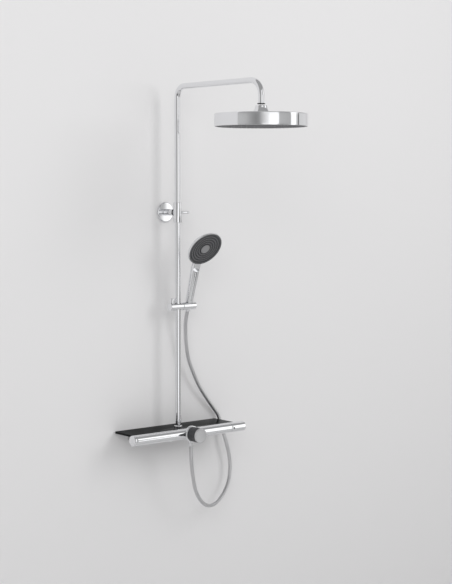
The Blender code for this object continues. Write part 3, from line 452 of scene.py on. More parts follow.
def swept_rows(shape, path, radii, sides, swell=None):
    """Rings of vertices round a path, without twist."""
    tangents = []
    for index in range(len(path)):
        ahead = path[min(index + 1, len(path) - 1)]
        behind = path[max(index - 1, 0)]
        tangents.append((ahead - behind).normalized())
    across = tangents[0].orthogonal().normalized()
    rows = []
    travelled = 0.0
    for index, (point, tangent) in enumerate(zip(path, tangents)):
        if index:
            across = tangents[index - 1].rotation_difference(tangent) @ across
            travelled += (point - path[index - 1]).length
        across = (across - tangent * across.dot(tangent)).normalized()
        other = tangent.cross(across)
        row = []
        for side in range(sides):
            angle = math.tau * side / sides
            reach = radii[index] + (swell(angle, travelled) if swell else 0)
            row.append(shape.verts.new(point + (across * math.cos(angle) + other * math.sin(angle)) * reach))
        rows.append(row)
    return rows


def add_swept(shape, path, radii, sides=SMALL_SIDES, wall=0.0, swell=None):
    """Add a round form along a path: solid with flat ends, or a tube where wall is given."""
    rows = swept_rows(shape, path, radii, sides, swell)
    if wall:
        rows += list(reversed(swept_rows(shape, path, [radius - wall for radius in radii], sides)))
        skin(shape, rows, True)
        return
    skin(shape, rows, False)
    shape.faces.new(rows[0])
    shape.faces.new(rows[-1])


def swept(name, slot, path, radius, sides=SMALL_SIDES, wall=0.0):
    """A piece of even radius along a path."""
    shape = bmesh.new()
    add_swept(shape, path, [radius] * len(path), sides, wall)
    return new_piece(name, shape, slot)


def settled_mesh(piece):
    """A new mesh of a piece with its modifiers and bevels worked out."""
    bpy.context.view_layer.update()
    seen = piece.evaluated_get(bpy.context.evaluated_depsgraph_get())
    return bpy.data.meshes.new_from_object(seen)


def combine(piece, operation, *tools):
    """Union a piece with tools or cut them from it, and keep the result as the piece's mesh."""
    for tool in tools:
        step = piece.modifiers.new("step", "BOOLEAN")
        step.operation = operation
        step.solver = "EXACT"
        step.object = tool
    data = settled_mesh(piece)
    piece.modifiers.clear()
    for tool in tools:
        bpy.data.objects.remove(tool, do_unlink=True)
    finish = piece.data.materials[0]
    piece.data = data
    dress(data, finish)
    return piece


def stands_for(piece, *nodes):
    """The piece shows in place of CAD nodes and rides on their body."""
    body = next(body for body, members in BODIES.items() if nodes[0] in members)
    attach(piece, body)
    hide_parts(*nodes)
    return piece


def turned_for(node, name, outline, place, sides=SIDES, ring=False, swell=None):
    """A turned piece in place of a CAD node, in the node's own finish."""
    return stands_for(turned(name, SLOTS[node], outline, place, sides, ring, swell), node)


def smooth_path(points, step):
    """Evenly spaced points on a centripetal Catmull-Rom curve through the given points."""
    ends = [points[0] * 2 - points[1]] + list(points) + [points[-1] * 2 - points[-2]]
    fine = []
    for p0, p1, p2, p3 in zip(ends, ends[1:], ends[2:], ends[3:]):
        t1 = (p1 - p0).length ** 0.5
        t2 = t1 + (p2 - p1).length ** 0.5
        t3 = t2 + (p3 - p2).length ** 0.5
        for index in range(24):
            t = t1 + (t2 - t1) * index / 24
            a1 = p0.lerp(p1, t / t1)
            a2 = p1.lerp(p2, (t - t1) / (t2 - t1))
            a3 = p2.lerp(p3, (t - t2) / (t3 - t2))
            b1 = a1.lerp(a2, t / t2)
            b2 = a2.lerp(a3, (t - t1) / (t3 - t1))
            fine.append(b1.lerp(b2, (t - t1) / (t2 - t1)))
    fine.append(points[-1])
    length = sum((b - a).length for a, b in zip(fine, fine[1:]))
    count = round(length / step)
    even = [fine[0]]
    travelled = 0.0
    for a, b in zip(fine, fine[1:]):
        reach = (b - a).length
        while len(even) < count and travelled + reach >= length * len(even) / count:
            even.append(a.lerp(b, (length * len(even) / count - travelled) / reach))
        travelled += reach
    even.append(fine[-1])
    return even


# ---------------------------------------------------------------- hose
HOSE_RADIUS = 6.5 * MM
HOSE_PITCH = 3.2 * MM  # one turn of the hose's metal winding
HOSE_RINGS = 5  # rings of vertices in one turn
HOSE_RIPPLE = 0.28 * MM
HOSE_SIDES = 20
HOSE_END_LENGTH = 84 * MM  # each of the two upper lengths, below the holder and at the handset
HOSE_BORE = 5 * MM
# the middle of the hose, from under the mixer, round its hanging bend and up to the handset
HOSE_ROUTE_MM = [
    (8, -136, -44.6), (8.5, -135.5, -70), (11, -134, -98), (17, -130, -130), (26, -126, -166),
    (40, -120, -206), (66, -111, -244), (95, -100, -267), (124, -89, -279), (160, -75, -281),
    (195, -61, -271), (234, -47, -244), (256, -39, -212), (266, -34, -178), (267, -32, -143),
    (259, -33, -106), (247, -33, -68), (238, -28, -32), (232, -20, 0), (226.5, -16, 24),
    (206, -16, 50),
    (178, -21, 80), (129, -28, 141), (98, -33, 194), (74, -38, 242), (58, -45, 300),
    (49, -53, 360), (46, -61, 391), (46, -68.3, 415.2),
]


def hose_ripple(angle, travelled):
    """The metal winding's rounded thread."""
    phase = math.tau * travelled / HOSE_PITCH - angle
    return HOSE_RIPPLE * (abs(math.cos(phase / 2)) - 1)


def hose_length(name, path):
    """One stretch of the hose."""
    shape = bmesh.new()
    add_swept(shape, path, [HOSE_RADIUS] * len(path), HOSE_SIDES, swell=hose_ripple)
    made = new_piece(name, shape, "hose_metal")
    length = sum((b - a).length for a, b in zip(path, path[1:]))
    return made, length


def make_hose():
    """The hose in three lengths along one smooth route."""
    route = [Vector(point) * MM for point in HOSE_ROUTE_MM]
    step = HOSE_PITCH / HOSE_RINGS
    path = smooth_path(route, step)
    end_count = round(HOSE_END_LENGTH / step)
    first_cut = len(path) - 1 - 2 * end_count
    second_cut = len(path) - 1 - end_count
    main_path = path[:first_cut + 1]
    lower_path = path[first_cut:second_cut + 1]
    upper_path = path[second_cut:]
    main, main_length = hose_length("hose_main", main_path)
    lower, lower_length = hose_length("hose_below_holder", lower_path)
    upper, upper_length = hose_length("hose_at_handset", upper_path)
    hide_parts("hose")
    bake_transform(main)
    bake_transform(lower)
    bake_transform(upper)


def make_hose_fittings():
    """Threaded nipple under the bar and the hose's tapered nut below it."""
    low, high, height = spans("hose_nipple", "z")
    centre = (low + high) / 2
    nipple = sleeve("outlet_nipple", "chrome", 8.8 * MM, HOSE_BORE, height,
                    Vector((centre.x, centre.y, low.z)), UP, 0.8 * MM, SMALL_SIDES)
    stands_for(nipple, "hose_nipple")
    low, high, height = spans("hose_nut_mixer", "z")
    outline = rounded((HOSE_BORE, 0), (7.4 * MM, 0, 0.5 * MM), (8.3 * MM, height * 0.72, 1.5 * MM),
                      (8.6 * MM, height * 0.8, 0.5 * MM), (8.6 * MM, height, 0.6 * MM), (HOSE_BORE, height))
    turned_for("hose_nut_mixer", "hose_collar_nut", outline, upright(centre.x, centre.y, low.z), SMALL_SIDES,
               ring=True)


set_camera()
make_hose_fittings()
make_hose()


# ---------------------------------------------------------------- riser and arm
TUBE_RADIUS = 10 * MM
TUBE_WALL = 1.5 * MM
REAR_BEND = 38 * MM
FRONT_BEND = 50 * MM
RISER = middle_of("riser_tube")
BRACKET = middle_of("bracket_sleeve")
BRACKET.y = RISER.y
INLET_Z = -9 * MM  # height at which water enters and leaves the back of the mixer
BOLT_WAY = 4.3 * MM  # radius of the way for the bracket's bolt
PLATE_WAY = 30.3 * MM  # radius of the flange's hollow, which covers the wall plate
PLATE_DEPTH = 4.8 * MM  # depth of that hollow


def bend(centre, radius, start, end, count):
    """Points of a bend in the plane of the arm."""
    turns = [start + (end - start) * index / count for index in range(count + 1)]
    return [Vector((0, centre[0] + radius * math.cos(a), centre[1] + radius * math.sin(a))) for a in turns]


def make_tubes():
    """The fixed riser and the swivelling arm, both drawn tube."""
    low, high, height = spans("riser_tube", "z")
    riser = sleeve("riser_pipe", "chrome", TUBE_RADIUS, TUBE_RADIUS - TUBE_WALL, height,
                   Vector((RISER.x, RISER.y, low.z)), UP)
    stands_for(riser, "riser_tube")
    low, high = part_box("arm_tube")
    axis_z = high.z - TUBE_RADIUS
    head_y = low.y + TUBE_RADIUS
    rear = bend((RISER.y - REAR_BEND, axis_z - REAR_BEND), REAR_BEND, 0, math.pi / 2, 24)
    front = bend((head_y + FRONT_BEND, axis_z - FRONT_BEND), FRONT_BEND, math.pi / 2, math.pi, 28)
    arm_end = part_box("arm_seal_ring")[1].z + GAP
    path = [Vector((0, RISER.y, low.z))] + rear + front + [Vector((0, head_y, arm_end))]
    stands_for(swept("arm_pipe", "chrome", path, TUBE_RADIUS, 72, TUBE_WALL), "arm_tube")


def make_riser_foot():
    """Elbow from the mixer, and the ring where the riser passes the shelf."""
    bore = TUBE_RADIUS + GAP
    low, high, height = spans("riser_base_ring", "z")
    outline = rounded((bore, 0), (14 * MM, 0, 0.4 * MM), (14 * MM, height - 2 * MM, 0.8 * MM),
                      (12.6 * MM, height, 1.2 * MM), (bore, height))
    turned_for("riser_base_ring", "riser_collar", outline, upright(0, RISER.y, low.z), ring=True)
    low, high, height = spans("riser_elbow", "z")
    body = rod("riser_bend", "chrome", high.x, height, Vector((0, RISER.y, low.z)), UP, 1.5 * MM)
    inlet = rod("inlet", "chrome", 11 * MM, RISER.y - low.y, Vector((0, RISER.y, INLET_Z)), FRONT, 0.6 * MM)
    socket = way(bore, 20 * MM, Vector((0, RISER.y, -1 * MM)), UP)
    combine(body, "UNION", inlet)
    stands_for(combine(body, "DIFFERENCE", socket), "riser_elbow")


def make_bracket():
    """Wall flange, post with its rings, and the clamping sleeve round the joint of riser and arm."""
    low, high, length = spans("bracket_sleeve", "z")
    radius = high.x
    neck_end = high.y
    bush_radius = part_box("bracket_bush")[1].x
    bore = bush_radius + GAP
    outline = rounded((bore, 0), (radius, 0, 1.2 * MM), (radius, length * 0.35), (radius, length * 0.65),
                      (radius, length, 1.2 * MM), (bore, length))
    body = turned("bracket_clamp", "chrome", outline, upright(0, RISER.y, low.z), ring=True)
    neck_start = RISER.y + bush_radius + MM
    neck = rod("neck", "chrome", 10 * MM, neck_end - neck_start, Vector((0, neck_start, BRACKET.z)),
               WALLWARD, 0.4 * MM)
    stands_for(combine(body, "UNION", neck), "bracket_sleeve")
    for node, name, ease in (("bracket_seal", "bracket_gasket", 0.8 * MM),
                             ("bracket_trim_ring", "bracket_bead", 1.6 * MM),
                             ("bracket_post", "bracket_stem", 0.4 * MM)):
        low, high, depth = spans(node, "y")
        start = Vector((0, high.y, BRACKET.z))
        stands_for(sleeve(name, SLOTS[node], high.x, BOLT_WAY, depth, start, FRONT, ease), node)
    low, high, depth = spans("bracket_flange", "y")
    outline = rounded((PLATE_WAY, 0), (high.x, 0, 0.6 * MM), (high.x, depth - 2 * MM, 0.5 * MM),
                      (high.x - 2 * MM, depth, 1.6 * MM), (BOLT_WAY, depth), (BOLT_WAY, PLATE_DEPTH),
                      (PLATE_WAY, PLATE_DEPTH))
    turned_for("bracket_flange", "bracket_rose", outline, facing(0, 0, BRACKET.z), 128, ring=True)
    side = radius + GAP
    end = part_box("clamp_pin")[1].x
    outline = rounded((0, bore), (3 * MM, bore), (3 * MM, side), (5.5 * MM, side, 0.8 * MM),
                      (5.1 * MM, end - 8 * MM, 2 * MM), (4.4 * MM, end - 7 * MM, 0.6 * MM),
                      (5 * MM, end - 6 * MM, 0.6 * MM), (5 * MM, end, 1.6 * MM), (0, end))
    turned_for("clamp_pin", "clamp_screw_knob", outline, frame_along(BRACKET, RIGHT), SMALL_SIDES)


make_tubes()
make_riser_foot()
make_bracket()


# ---------------------------------------------------------------- rain head
HEAD = middle_of("head_shell")
HEAD_FOOT, HEAD_TOP = (corner.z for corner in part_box("head_shell"))
HEAD_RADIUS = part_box("head_shell")[1].x
BALL_Z = sum(corner.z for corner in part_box("ball_seat")) / 2
BALL_RADIUS = 9 * MM
CAVITY_RADIUS = 11.8 * MM  # hollow of the cone nut round the ball and its seat
NOZZLE_SPACING = 13.6 * MM
NOZZLE_MARGIN = 9 * MM
NOZZLE_RINGS = 10
RAIN_NOZZLE = {"foot_radius": 2.4 * MM, "tip_radius": 1.3 * MM, "height": 2.6 * MM, "sides": 12}


def head_frame(height):
    """Upright frame on the rain head's axis."""
    return upright(0, HEAD.y, height)


def make_swivel():
    """Seal, ball stud and cone nut between the arm and the rain head."""
    low, high, depth = spans("arm_seal_ring", "z")
    bore = 5.3 * MM
    outline = rounded((bore, 0), (high.x, 0, 1.3 * MM), (high.x, depth, 1.3 * MM), (bore, depth))
    turned_for("arm_seal_ring", "arm_seal", outline, head_frame(low.z), ring=True)
    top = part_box("ball_stud")[1].z - BALL_Z
    stud = [(0, top), (8.2 * MM, top), (8.2 * MM, 14.5 * MM), (5 * MM, 14.5 * MM)]
    stud += arc(BALL_RADIUS, 34, 180, 24)[:-1] + [(0, -BALL_RADIUS)]
    turned_for("ball_stud", "ball_and_stud", stud, head_frame(BALL_Z), 64)
    foot = HEAD_TOP + GAP - BALL_Z
    inside = foot - 9 * MM
    outline = rounded((11 * MM, 5.4 * MM), (15.5 * MM, 5.4 * MM, 0.4 * MM), (16 * MM, 7 * MM, 0.6 * MM),
                      (18.5 * MM, 7 * MM, 1.4 * MM), (20 * MM, -2 * MM, 4 * MM),
                      (27 * MM, -13.5 * MM, 4 * MM), (28 * MM, foot, 0.6 * MM), (9 * MM, foot),
                      (9 * MM, inside), (6 * MM, inside), (6 * MM, -9.8 * MM), (7 * MM, -9.5 * MM))
    cone = outline + arc(CAVITY_RADIUS, 140, 67, 12)
    turned_for("swivel_nut", "swivel_cone", cone, head_frame(BALL_Z), ring=True)


def add_nozzle(shape, place, foot_radius, tip_radius, height, sides):
    """A soft spray nozzle with a small hole in its tip."""
    foot = -0.4 * MM
    hole = tip_radius * 0.45
    outline = [(0, foot), (foot_radius, foot), (foot_radius, 0.2 * height), (tip_radius, height * 0.9),
               (tip_radius * 0.8, height), (hole, height), (hole, height * 0.5), (0, height * 0.5)]
    add_turned(shape, outline, place, sides)


def ring_angles(ring, count):
    """Even turns round a ring of nozzles; every second ring starts half a step on."""
    return [math.tau * (step + 0.5 * (ring % 2)) / count for step in range(count)]


def nozzle_piece(name, shape, body):
    """The nozzles of one plate, which ride on its body."""
    nozzles = new_piece(name, shape, "grey_silicone")
    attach(nozzles, body)


def make_rain_head():
    """Chrome shell, dark spray plate and its soft nozzles."""
    top = HEAD_TOP - HEAD_FOOT
    wall = 2.5 * MM
    hole = 9.3 * MM
    rim = HEAD_RADIUS
    outline = rounded((hole, top), (rim - 9 * MM, top), (rim, top - 0.3 * MM, 3.2 * MM), (rim, top * 0.5),
                      (rim, 0, 1.2 * MM), (rim - wall, 0, 0.5 * MM), (rim - wall, top - wall),
                      (hole, top - wall), steps=8)
    turned_for("head_shell", "rain_head_shell", outline, head_frame(HEAD_FOOT), 256, ring=True)
    low, high, thickness = spans("head_spray_plate", "z")
    radius = high.x
    outline = rounded((0, thickness), (radius, thickness, 0.3 * MM), (radius, 0, 0.5 * MM),
                      (radius - 4 * MM, 0, 0.3 * MM), (radius - 5 * MM, 0.5 * MM, 0.3 * MM), (0, 0.5 * MM))
    turned_for("head_spray_plate", "rain_spray_plate", outline, head_frame(low.z), 192)
    shape = bmesh.new()
    for ring in range(1, NOZZLE_RINGS + 1):
        reach = (radius - NOZZLE_MARGIN) * ring / NOZZLE_RINGS
        for angle in ring_angles(ring, round(math.tau * reach / NOZZLE_SPACING)):
            point = Vector((reach * math.cos(angle), HEAD.y + reach * math.sin(angle), low.z + 0.5 * MM))
            add_nozzle(shape, frame_along(point, DOWN), **RAIN_NOZZLE)
    nozzle_piece("rain_nozzles", shape, "rain_head")


make_swivel()
make_rain_head()


# ---------------------------------------------------------------- slider, holder and handset
SLIDER_Z = middle_of("holder_barrel").z
SLIDER_RADIUS = spans("holder_barrel", "z")[2] / 2
RISER_WAY = 11.7 * MM  # radius of the slider's way for the riser
PIVOT_WAY = 4.8 * MM  # radius of the way for the pin between slider and holder
HANDSET_X = middle_of("hose_nut_handset").x
HANDSET_LEAN = math.radians(17)
FACE_LEAN = math.radians(124.8)
HANDSET_FRAME = Matrix.Translation((HANDSET_X, RISER.y, SLIDER_Z)) @ Matrix.Rotation(HANDSET_LEAN, 4, "X")
FACE_FRAME = (HANDSET_FRAME @ Matrix.Translation((0, -32.6 * MM, 218.8 * MM))
              @ Matrix.Rotation(FACE_LEAN - HANDSET_LEAN, 4, "X"))
HANDSET_RADIUS = 66 * MM
FACE_RADIUS = 63.3 * MM
FACE_SIDES = 160  # facets round the handset's head
FACE_NOZZLE = {"foot_radius": 1.2 * MM, "tip_radius": 0.8 * MM, "height": 1.1 * MM, "sides": 10}
SELECT_RADIUS = 17 * MM


def by_riser(x, rise=0):
    """A point on or beside the riser, by its rise from the slider's middle."""
    return Vector((x, RISER.y, SLIDER_Z + rise))


def make_slider():
    """Carriage on the riser with its release button, and the tilting half that holds the handset."""
    low, high, length = spans("slider_body", "x")
    carriage = rod("slider_carriage", "chrome", SLIDER_RADIUS, length, by_riser(low.x), RIGHT, 1.4 * MM,
                   128, 36)
    bore = way(RISER_WAY, 40 * MM, by_riser(0, -20 * MM), UP)
    low, high, height = spans("slider_button", "z")
    button_x = (low.x + high.x) / 2
    button_radius = (high.x - low.x) / 2
    pocket = way(button_radius + GAP, 30 * MM, by_riser(button_x, -4 * MM), UP)
    pivot = way(PIVOT_WAY, 12 * MM, by_riser(8 * MM), RIGHT)
    stands_for(combine(carriage, "DIFFERENCE", bore, pocket, pivot), "slider_body")
    button = rod("release_button_cap", "chrome", button_radius, height,
                 Vector((button_x, RISER.y, low.z)), UP, 1.2 * MM, SMALL_SIDES)
    stands_for(button, "slider_button")
    low, high, length = spans("holder_barrel", "x")
    barrel = rod("holder_cradle", "chrome", SLIDER_RADIUS, length, by_riser(low.x), RIGHT, 1.4 * MM, 128, 36)
    taper = [(0, 21 * MM), (10.95 * MM, 21 * MM), (9.05 * MM, -25 * MM), (0, -25 * MM)]
    cone = turned("cone", "chrome", taper, HANDSET_FRAME, 96)
    pin_way = way(PIVOT_WAY, 20 * MM, by_riser(14 * MM), RIGHT)
    stands_for(combine(barrel, "DIFFERENCE", cone, pin_way), "holder_barrel")


# how far the handle's middle lies behind its axis, how far along it, and the radius there
HANDLE_LINE_MM = [(0, 15.3, 12.4), (0, 17, 13), (0, 30, 13.4), (0, 60, 14), (0, 100, 15), (0.5, 130, 15.8),
                  (-0.5, 155, 15.6), (-5, 177, 14), (-11, 195, 11), (-16, 206, 7)]


HANDLE_STEP_MM = 2.5


def make_handset():
    """Conical hose nut, chrome body with its handle, spray face, nozzles and selecting button."""
    outline = rounded((HOSE_BORE, 15 * MM), (10.4 * MM, 15 * MM, 0.5 * MM), (9 * MM, -19 * MM, 0.8 * MM),
                      (HOSE_BORE, -19 * MM))
    turned_for("hose_nut_handset", "handset_cone_nut", outline, HANDSET_FRAME, 64, ring=True)
    line = smooth_path([Vector(point) for point in HANDLE_LINE_MM], HANDLE_STEP_MM)
    path = [HANDSET_FRAME @ (Vector((0, point.x, point.y)) * MM) for point in line]
    shape = bmesh.new()
    add_swept(shape, path, [point.z * MM for point in line], 64)
    handle = new_piece("handle", shape, "chrome")
    rim = HANDSET_RADIUS
    outline = rounded((0, 0), (rim - 0.6 * MM, 0, 0.5 * MM), (rim, -1.2 * MM, 0.8 * MM),
                      (rim, -5 * MM, 2 * MM), (rim - 3 * MM, -10 * MM, 3 * MM),
                      (rim - 12 * MM, -16 * MM, 5 * MM), (rim - 28 * MM, -20 * MM, 6 * MM),
                      (20 * MM, -22 * MM, 4 * MM), (0, -22 * MM), steps=6)
    body = turned("handset_body", "chrome", outline, FACE_FRAME, FACE_SIDES)
    combine(body, "UNION", handle)
    inner = FACE_RADIUS + GAP
    hollow = [(0, 30 * MM), (inner, 30 * MM), (inner, -8 * MM), (0, -8 * MM)]
    recess = turned("recess", "chrome", hollow, FACE_FRAME, FACE_SIDES)
    spare = [(0, 40 * MM), (90 * MM, 40 * MM), (90 * MM, 0.02 * MM), (0, 0.02 * MM)]
    above = turned("above", "chrome", spare, FACE_FRAME, 64)
    stands_for(combine(body, "DIFFERENCE", recess, above), "handset_shell")
    make_spray_face()


RING_RADII_MM = (24.5, 33.5, 42.5, 51.5)
RING_SPACING = 9 * MM
RING_DEPTH = 1.8 * MM
FACE_DROP = 0.6 * MM  # how far the crests lie below the chrome rim
FACE_STEPS = 120  # points across the face's outline
SELECT_GREY = (0.34, 0.34, 0.35)
# painted light on the spray face: the crests' colour is the charcoal lifted by a painted highlight, and the
# valleys' colour is painted shade
FACE_CREST_PAINTED_HIGHLIGHT = (0.105, 0.107, 0.113)
FACE_VALLEY_PAINTED_SHADE = (0.022, 0.022, 0.024)
CREST_NARROWING = 1.6  # above 1 the painted highlight on the crests is narrower than the painted shade in the valleys


def ring_height(radius):
    """Height of the spray face: a rounded ridge at each ring of nozzles."""
    first = RING_RADII_MM[0] * MM
    last = RING_RADII_MM[-1] * MM
    if not first - RING_SPACING / 2 < radius < last + RING_SPACING / 2:
        return -FACE_DROP
    wave = abs(math.cos(math.pi * (radius - first) / RING_SPACING))
    return -FACE_DROP - RING_DEPTH * (1 - wave)


def charcoal_painted_ring_light():
    """Charcoal plastic painted paler along the crests of its rings as a highlight, and painted dark in the
    valleys as shade.
    """
    made = grained("charcoal_painted_ring_light", FACE_CREST_PAINTED_HIGHLIGHT, 0.34, 1200.0, 0.03 * MM, shade=0.3, Specular_IOR_Level=0.4)
    tree = made.node_tree
    colour = tree.nodes["Principled BSDF"].inputs["Base Color"]
    # a mask by distance from the face's centre: 1 on the crests, for the painted highlight, and 0 in the
    # valleys, for the painted shade
    outward = maths(tree, "SUBTRACT", distance_from(tree, FACE_FRAME.translation), RING_RADII_MM[0] * MM)
    turns = maths(tree, "MULTIPLY", outward, math.pi / RING_SPACING)
    painted_light_mask = maths(tree, "ABSOLUTE", maths(tree, "COSINE", turns, 0.0), 0.0)
    crest_painted_highlight = colour.links[0].from_socket
    feed(tree, colour, blended(tree, maths(tree, "POWER", painted_light_mask, CREST_NARROWING), FACE_VALLEY_PAINTED_SHADE, crest_painted_highlight))
    return made


def make_spray_face():
    """Charcoal face with ridged rings, its nozzles and the round selecting pad."""
    inner = SELECT_RADIUS + GAP
    floor = -FACE_DROP - 3 * MM
    outline = [(inner, floor)]
    for step in range(FACE_STEPS + 1):
        radius = inner + (FACE_RADIUS - inner - MM) * step / FACE_STEPS
        outline.append((radius, ring_height(radius)))
    outline += [(FACE_RADIUS - 0.3 * MM, -FACE_DROP - 0.3 * MM), (FACE_RADIUS, -FACE_DROP - MM),
                (FACE_RADIUS, floor)]
    face = turned("spray_face", "dark_plastic", outline, FACE_FRAME, FACE_SIDES, ring=True)
    # this material paints a highlight on the ring crests and shade in the valleys
    face.data.materials[0] = charcoal_painted_ring_light()
    stands_for(face, "handset_face")
    shape = bmesh.new()
    for index, radius in enumerate(RING_RADII_MM):
        for angle in ring_angles(index, 14 + 8 * index):
            point = FACE_FRAME @ (Vector((radius * math.cos(angle), radius * math.sin(angle), -0.8)) * MM)
            add_nozzle(shape, frame_along(point, FACE_FRAME.to_3x3() @ UP), **FACE_NOZZLE)
    nozzle_piece("handset_nozzles", shape, "handset")
    rim = SELECT_RADIUS
    outline = rounded((0, -5 * MM), (rim, -5 * MM, 0.4 * MM), (rim, 0.4 * MM, 0.8 * MM),
                      (rim - 4 * MM, 1 * MM, 2 * MM), (rim - 8 * MM, 0.5 * MM, 3 * MM), (0, 0.3 * MM))
    pad = turned("select_pad", "satin_metal", outline, FACE_FRAME, 96)
    pad.data.materials[0] = grained("dark_satin", SELECT_GREY, 0.34, 1400.0, 0.02 * MM, metallic=0.7)
    stands_for(pad, "select_button")


SPRING_WIRE = 0.7 * MM
SPRING_TURNS = 5
SPRING_STEPS = 24  # points in one turn of the spring


def make_release_spring():
    """Coil spring under the release button."""
    low, high, height = spans("slider_button_spring", "z")
    centre = (low + high) / 2
    coil = (high.x - low.x) / 2 - SPRING_WIRE
    foot = low.z + SPRING_WIRE
    rise = height - 2 * SPRING_WIRE
    count = SPRING_TURNS * SPRING_STEPS
    path = []
    for index in range(count + 1):
        angle = math.tau * index / SPRING_STEPS
        path.append(Vector((centre.x + coil * math.cos(angle), centre.y + coil * math.sin(angle),
                            foot + rise * index / count)))
    spring = swept("release_spring", "steel", path, SPRING_WIRE, 10)
    stands_for(spring, "slider_button_spring")
    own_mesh(spring)


make_slider()
make_release_spring()
make_handset()


# ---------------------------------------------------------------- mixer
BAR_RADIUS = 18 * MM
BAR_SIDES = 144  # facets round the bar and what sits on it
BAR_Y = middle_of("temperature_handle").y
KNOB_RADIUS = 25 * MM
KNOB_RIBS = 40
RIB_DEPTH = 0.9 * MM
SPINDLE_WAY = 4.3 * MM  # radius of the way for the knob's spindle


def bar_point(x):
    """A point on the bar's axis."""
    return Vector((x, BAR_Y, 0))


def make_mixer_bar():
    """The bar with its bosses, its end cap, temperature handle and safety button."""
    low, high, length = spans("mixer_body", "x")
    bar = rod("mixer_bar", "chrome", BAR_RADIUS, length, bar_point(low.x), RIGHT, 0.6 * MM, BAR_SIDES, 60)
    back = BAR_Y + 3 * MM
    outlet = middle_of("hose_nipple")
    bosses = [(12 * MM, 29 * MM, (middle_of(f"inlet_union_{side}").x, back, INLET_Z), WALLWARD)
              for side in ("cold", "hot")]
    bosses += [(11 * MM, 28.7 * MM, (0, back, INLET_Z), WALLWARD),
               (8.5 * MM, 9 * MM, (outlet.x, outlet.y, -21 * MM), UP),
               (15 * MM, 21.2 * MM, bar_point(0), FRONT)]
    tools = [rod("boss", "chrome", radius, reach, Vector(start), direction, 0.5 * MM)
             for radius, reach, start, direction in bosses]
    stands_for(combine(bar, "UNION", *tools), "mixer_body")
    outer = low.x - GAP
    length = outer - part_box("end_cap_left")[0].x
    outline = rounded((0, 0), (BAR_RADIUS, 0, 0.4 * MM), (BAR_RADIUS, length, 1.8 * MM), (0, length))
    turned_for("end_cap_left", "left_end_cap", outline, frame_along(bar_point(outer), LEFT), BAR_SIDES)
    low, high, length = spans("temperature_handle", "x")
    shank = 5.3 * MM
    bore = 14.5 * MM
    outline = rounded((0, 42 * MM), (shank, 42 * MM), (shank, 30 * MM), (bore, 30 * MM), (bore, 0),
                      (BAR_RADIUS, 0, 0.7 * MM), (BAR_RADIUS, length * 0.3), (BAR_RADIUS, length * 0.6),
                      (BAR_RADIUS, length, 1.8 * MM), (0, length))
    handle = turned("temperature_grip", "chrome", outline, frame_along(bar_point(low.x), RIGHT), BAR_SIDES)
    low, high, depth = spans("safety_button", "y")
    x = (low.x + high.x) / 2
    radius = (high.x - low.x) / 2
    pocket = way(radius + GAP, 30 * MM, bar_point(x), FRONT, SMALL_SIDES)
    stands_for(combine(handle, "DIFFERENCE", pocket), "temperature_handle")
    start = Vector((x, high.y, 0))
    button = rod("safety_stop", "dark_plastic", radius, depth, start, FRONT, 0.7 * MM, SMALL_SIDES)
    stands_for(button, "safety_button")


def grip_rib(angle, radius, height):
    """Shallow finger ribs along the diverter knob."""
    if radius < 23 * MM:
        return 0
    return -RIB_DEPTH * (0.5 - 0.5 * math.cos(KNOB_RIBS * angle)) ** 2


def make_knob():
    """Chrome collar, ribbed dark grip and satin face of the diverter knob."""
    low, high, depth = spans("knob_collar", "y")
    bore = 15.3 * MM
    outline = rounded((bore, 0), (28 * MM, 0, 0.6 * MM), (28 * MM, depth - 3 * MM, 0.5 * MM),
                      (26.2 * MM, depth, 1.4 * MM), (bore, depth))
    collar = turned("knob_base", "chrome", outline, facing(0, high.y, 0), BAR_SIDES, ring=True)
    seat = way(BAR_RADIUS + GAP, 120 * MM, bar_point(-60 * MM), RIGHT, BAR_SIDES)
    stands_for(combine(collar, "DIFFERENCE", seat), "knob_collar")
    low, high, length = spans("knob_grip", "y")
    rows = [(KNOB_RADIUS, length * index / 8) for index in range(1, 8)]
    inset = length - 4 * MM
    outline = rounded((SPINDLE_WAY, inset), (20 * MM, inset), (20 * MM, 0, 0.3 * MM),
                      (KNOB_RADIUS, 0, 0.8 * MM), *rows, (KNOB_RADIUS, length, 0.8 * MM),
                      (SPINDLE_WAY, length))
    turned_for("knob_grip", "knob_ribbed_grip", outline, facing(0, high.y, 0), KNOB_RIBS * 8, ring=True,
               swell=grip_rib)
    low, high, depth = spans("knob_face", "y")
    radius = (high.x - low.x) / 2
    floor = depth - 0.5 * MM
    outline = rounded((0, 0), (radius, 0, 0.4 * MM), (radius, depth - 0.8 * MM, 0.4 * MM),
                      (radius - 1 * MM, depth, 0.5 * MM), (radius - 4 * MM, depth, 0.4 * MM),
                      (radius - 4.6 * MM, floor, 0.4 * MM), (0, floor))
    face = turned("knob_satin_disc", "satin_metal", outline, facing(0, high.y, 0), BAR_SIDES)
    face.data.materials[0] = lathe_turned("turned_satin_face", (0.62, 0.62, 0.63), 0.36,
                                          Vector((0, low.y, 0)), 2600.0, 0.03 * MM)
    stands_for(face, "knob_face")


make_mixer_bar()
make_knob()


# ---------------------------------------------------------------- wall inlets and shelf
WALL_INLET_Z = -19 * MM  # height of the pipes in the wall
UNION_STEP_Y = -46 * MM  # where a union's mixer end begins, higher than its wall end
UNION_WAY = 12.3 * MM  # radius of the hole for a union
NUT_FLAT = 13.4 * MM  # from a nut's axis to its flats


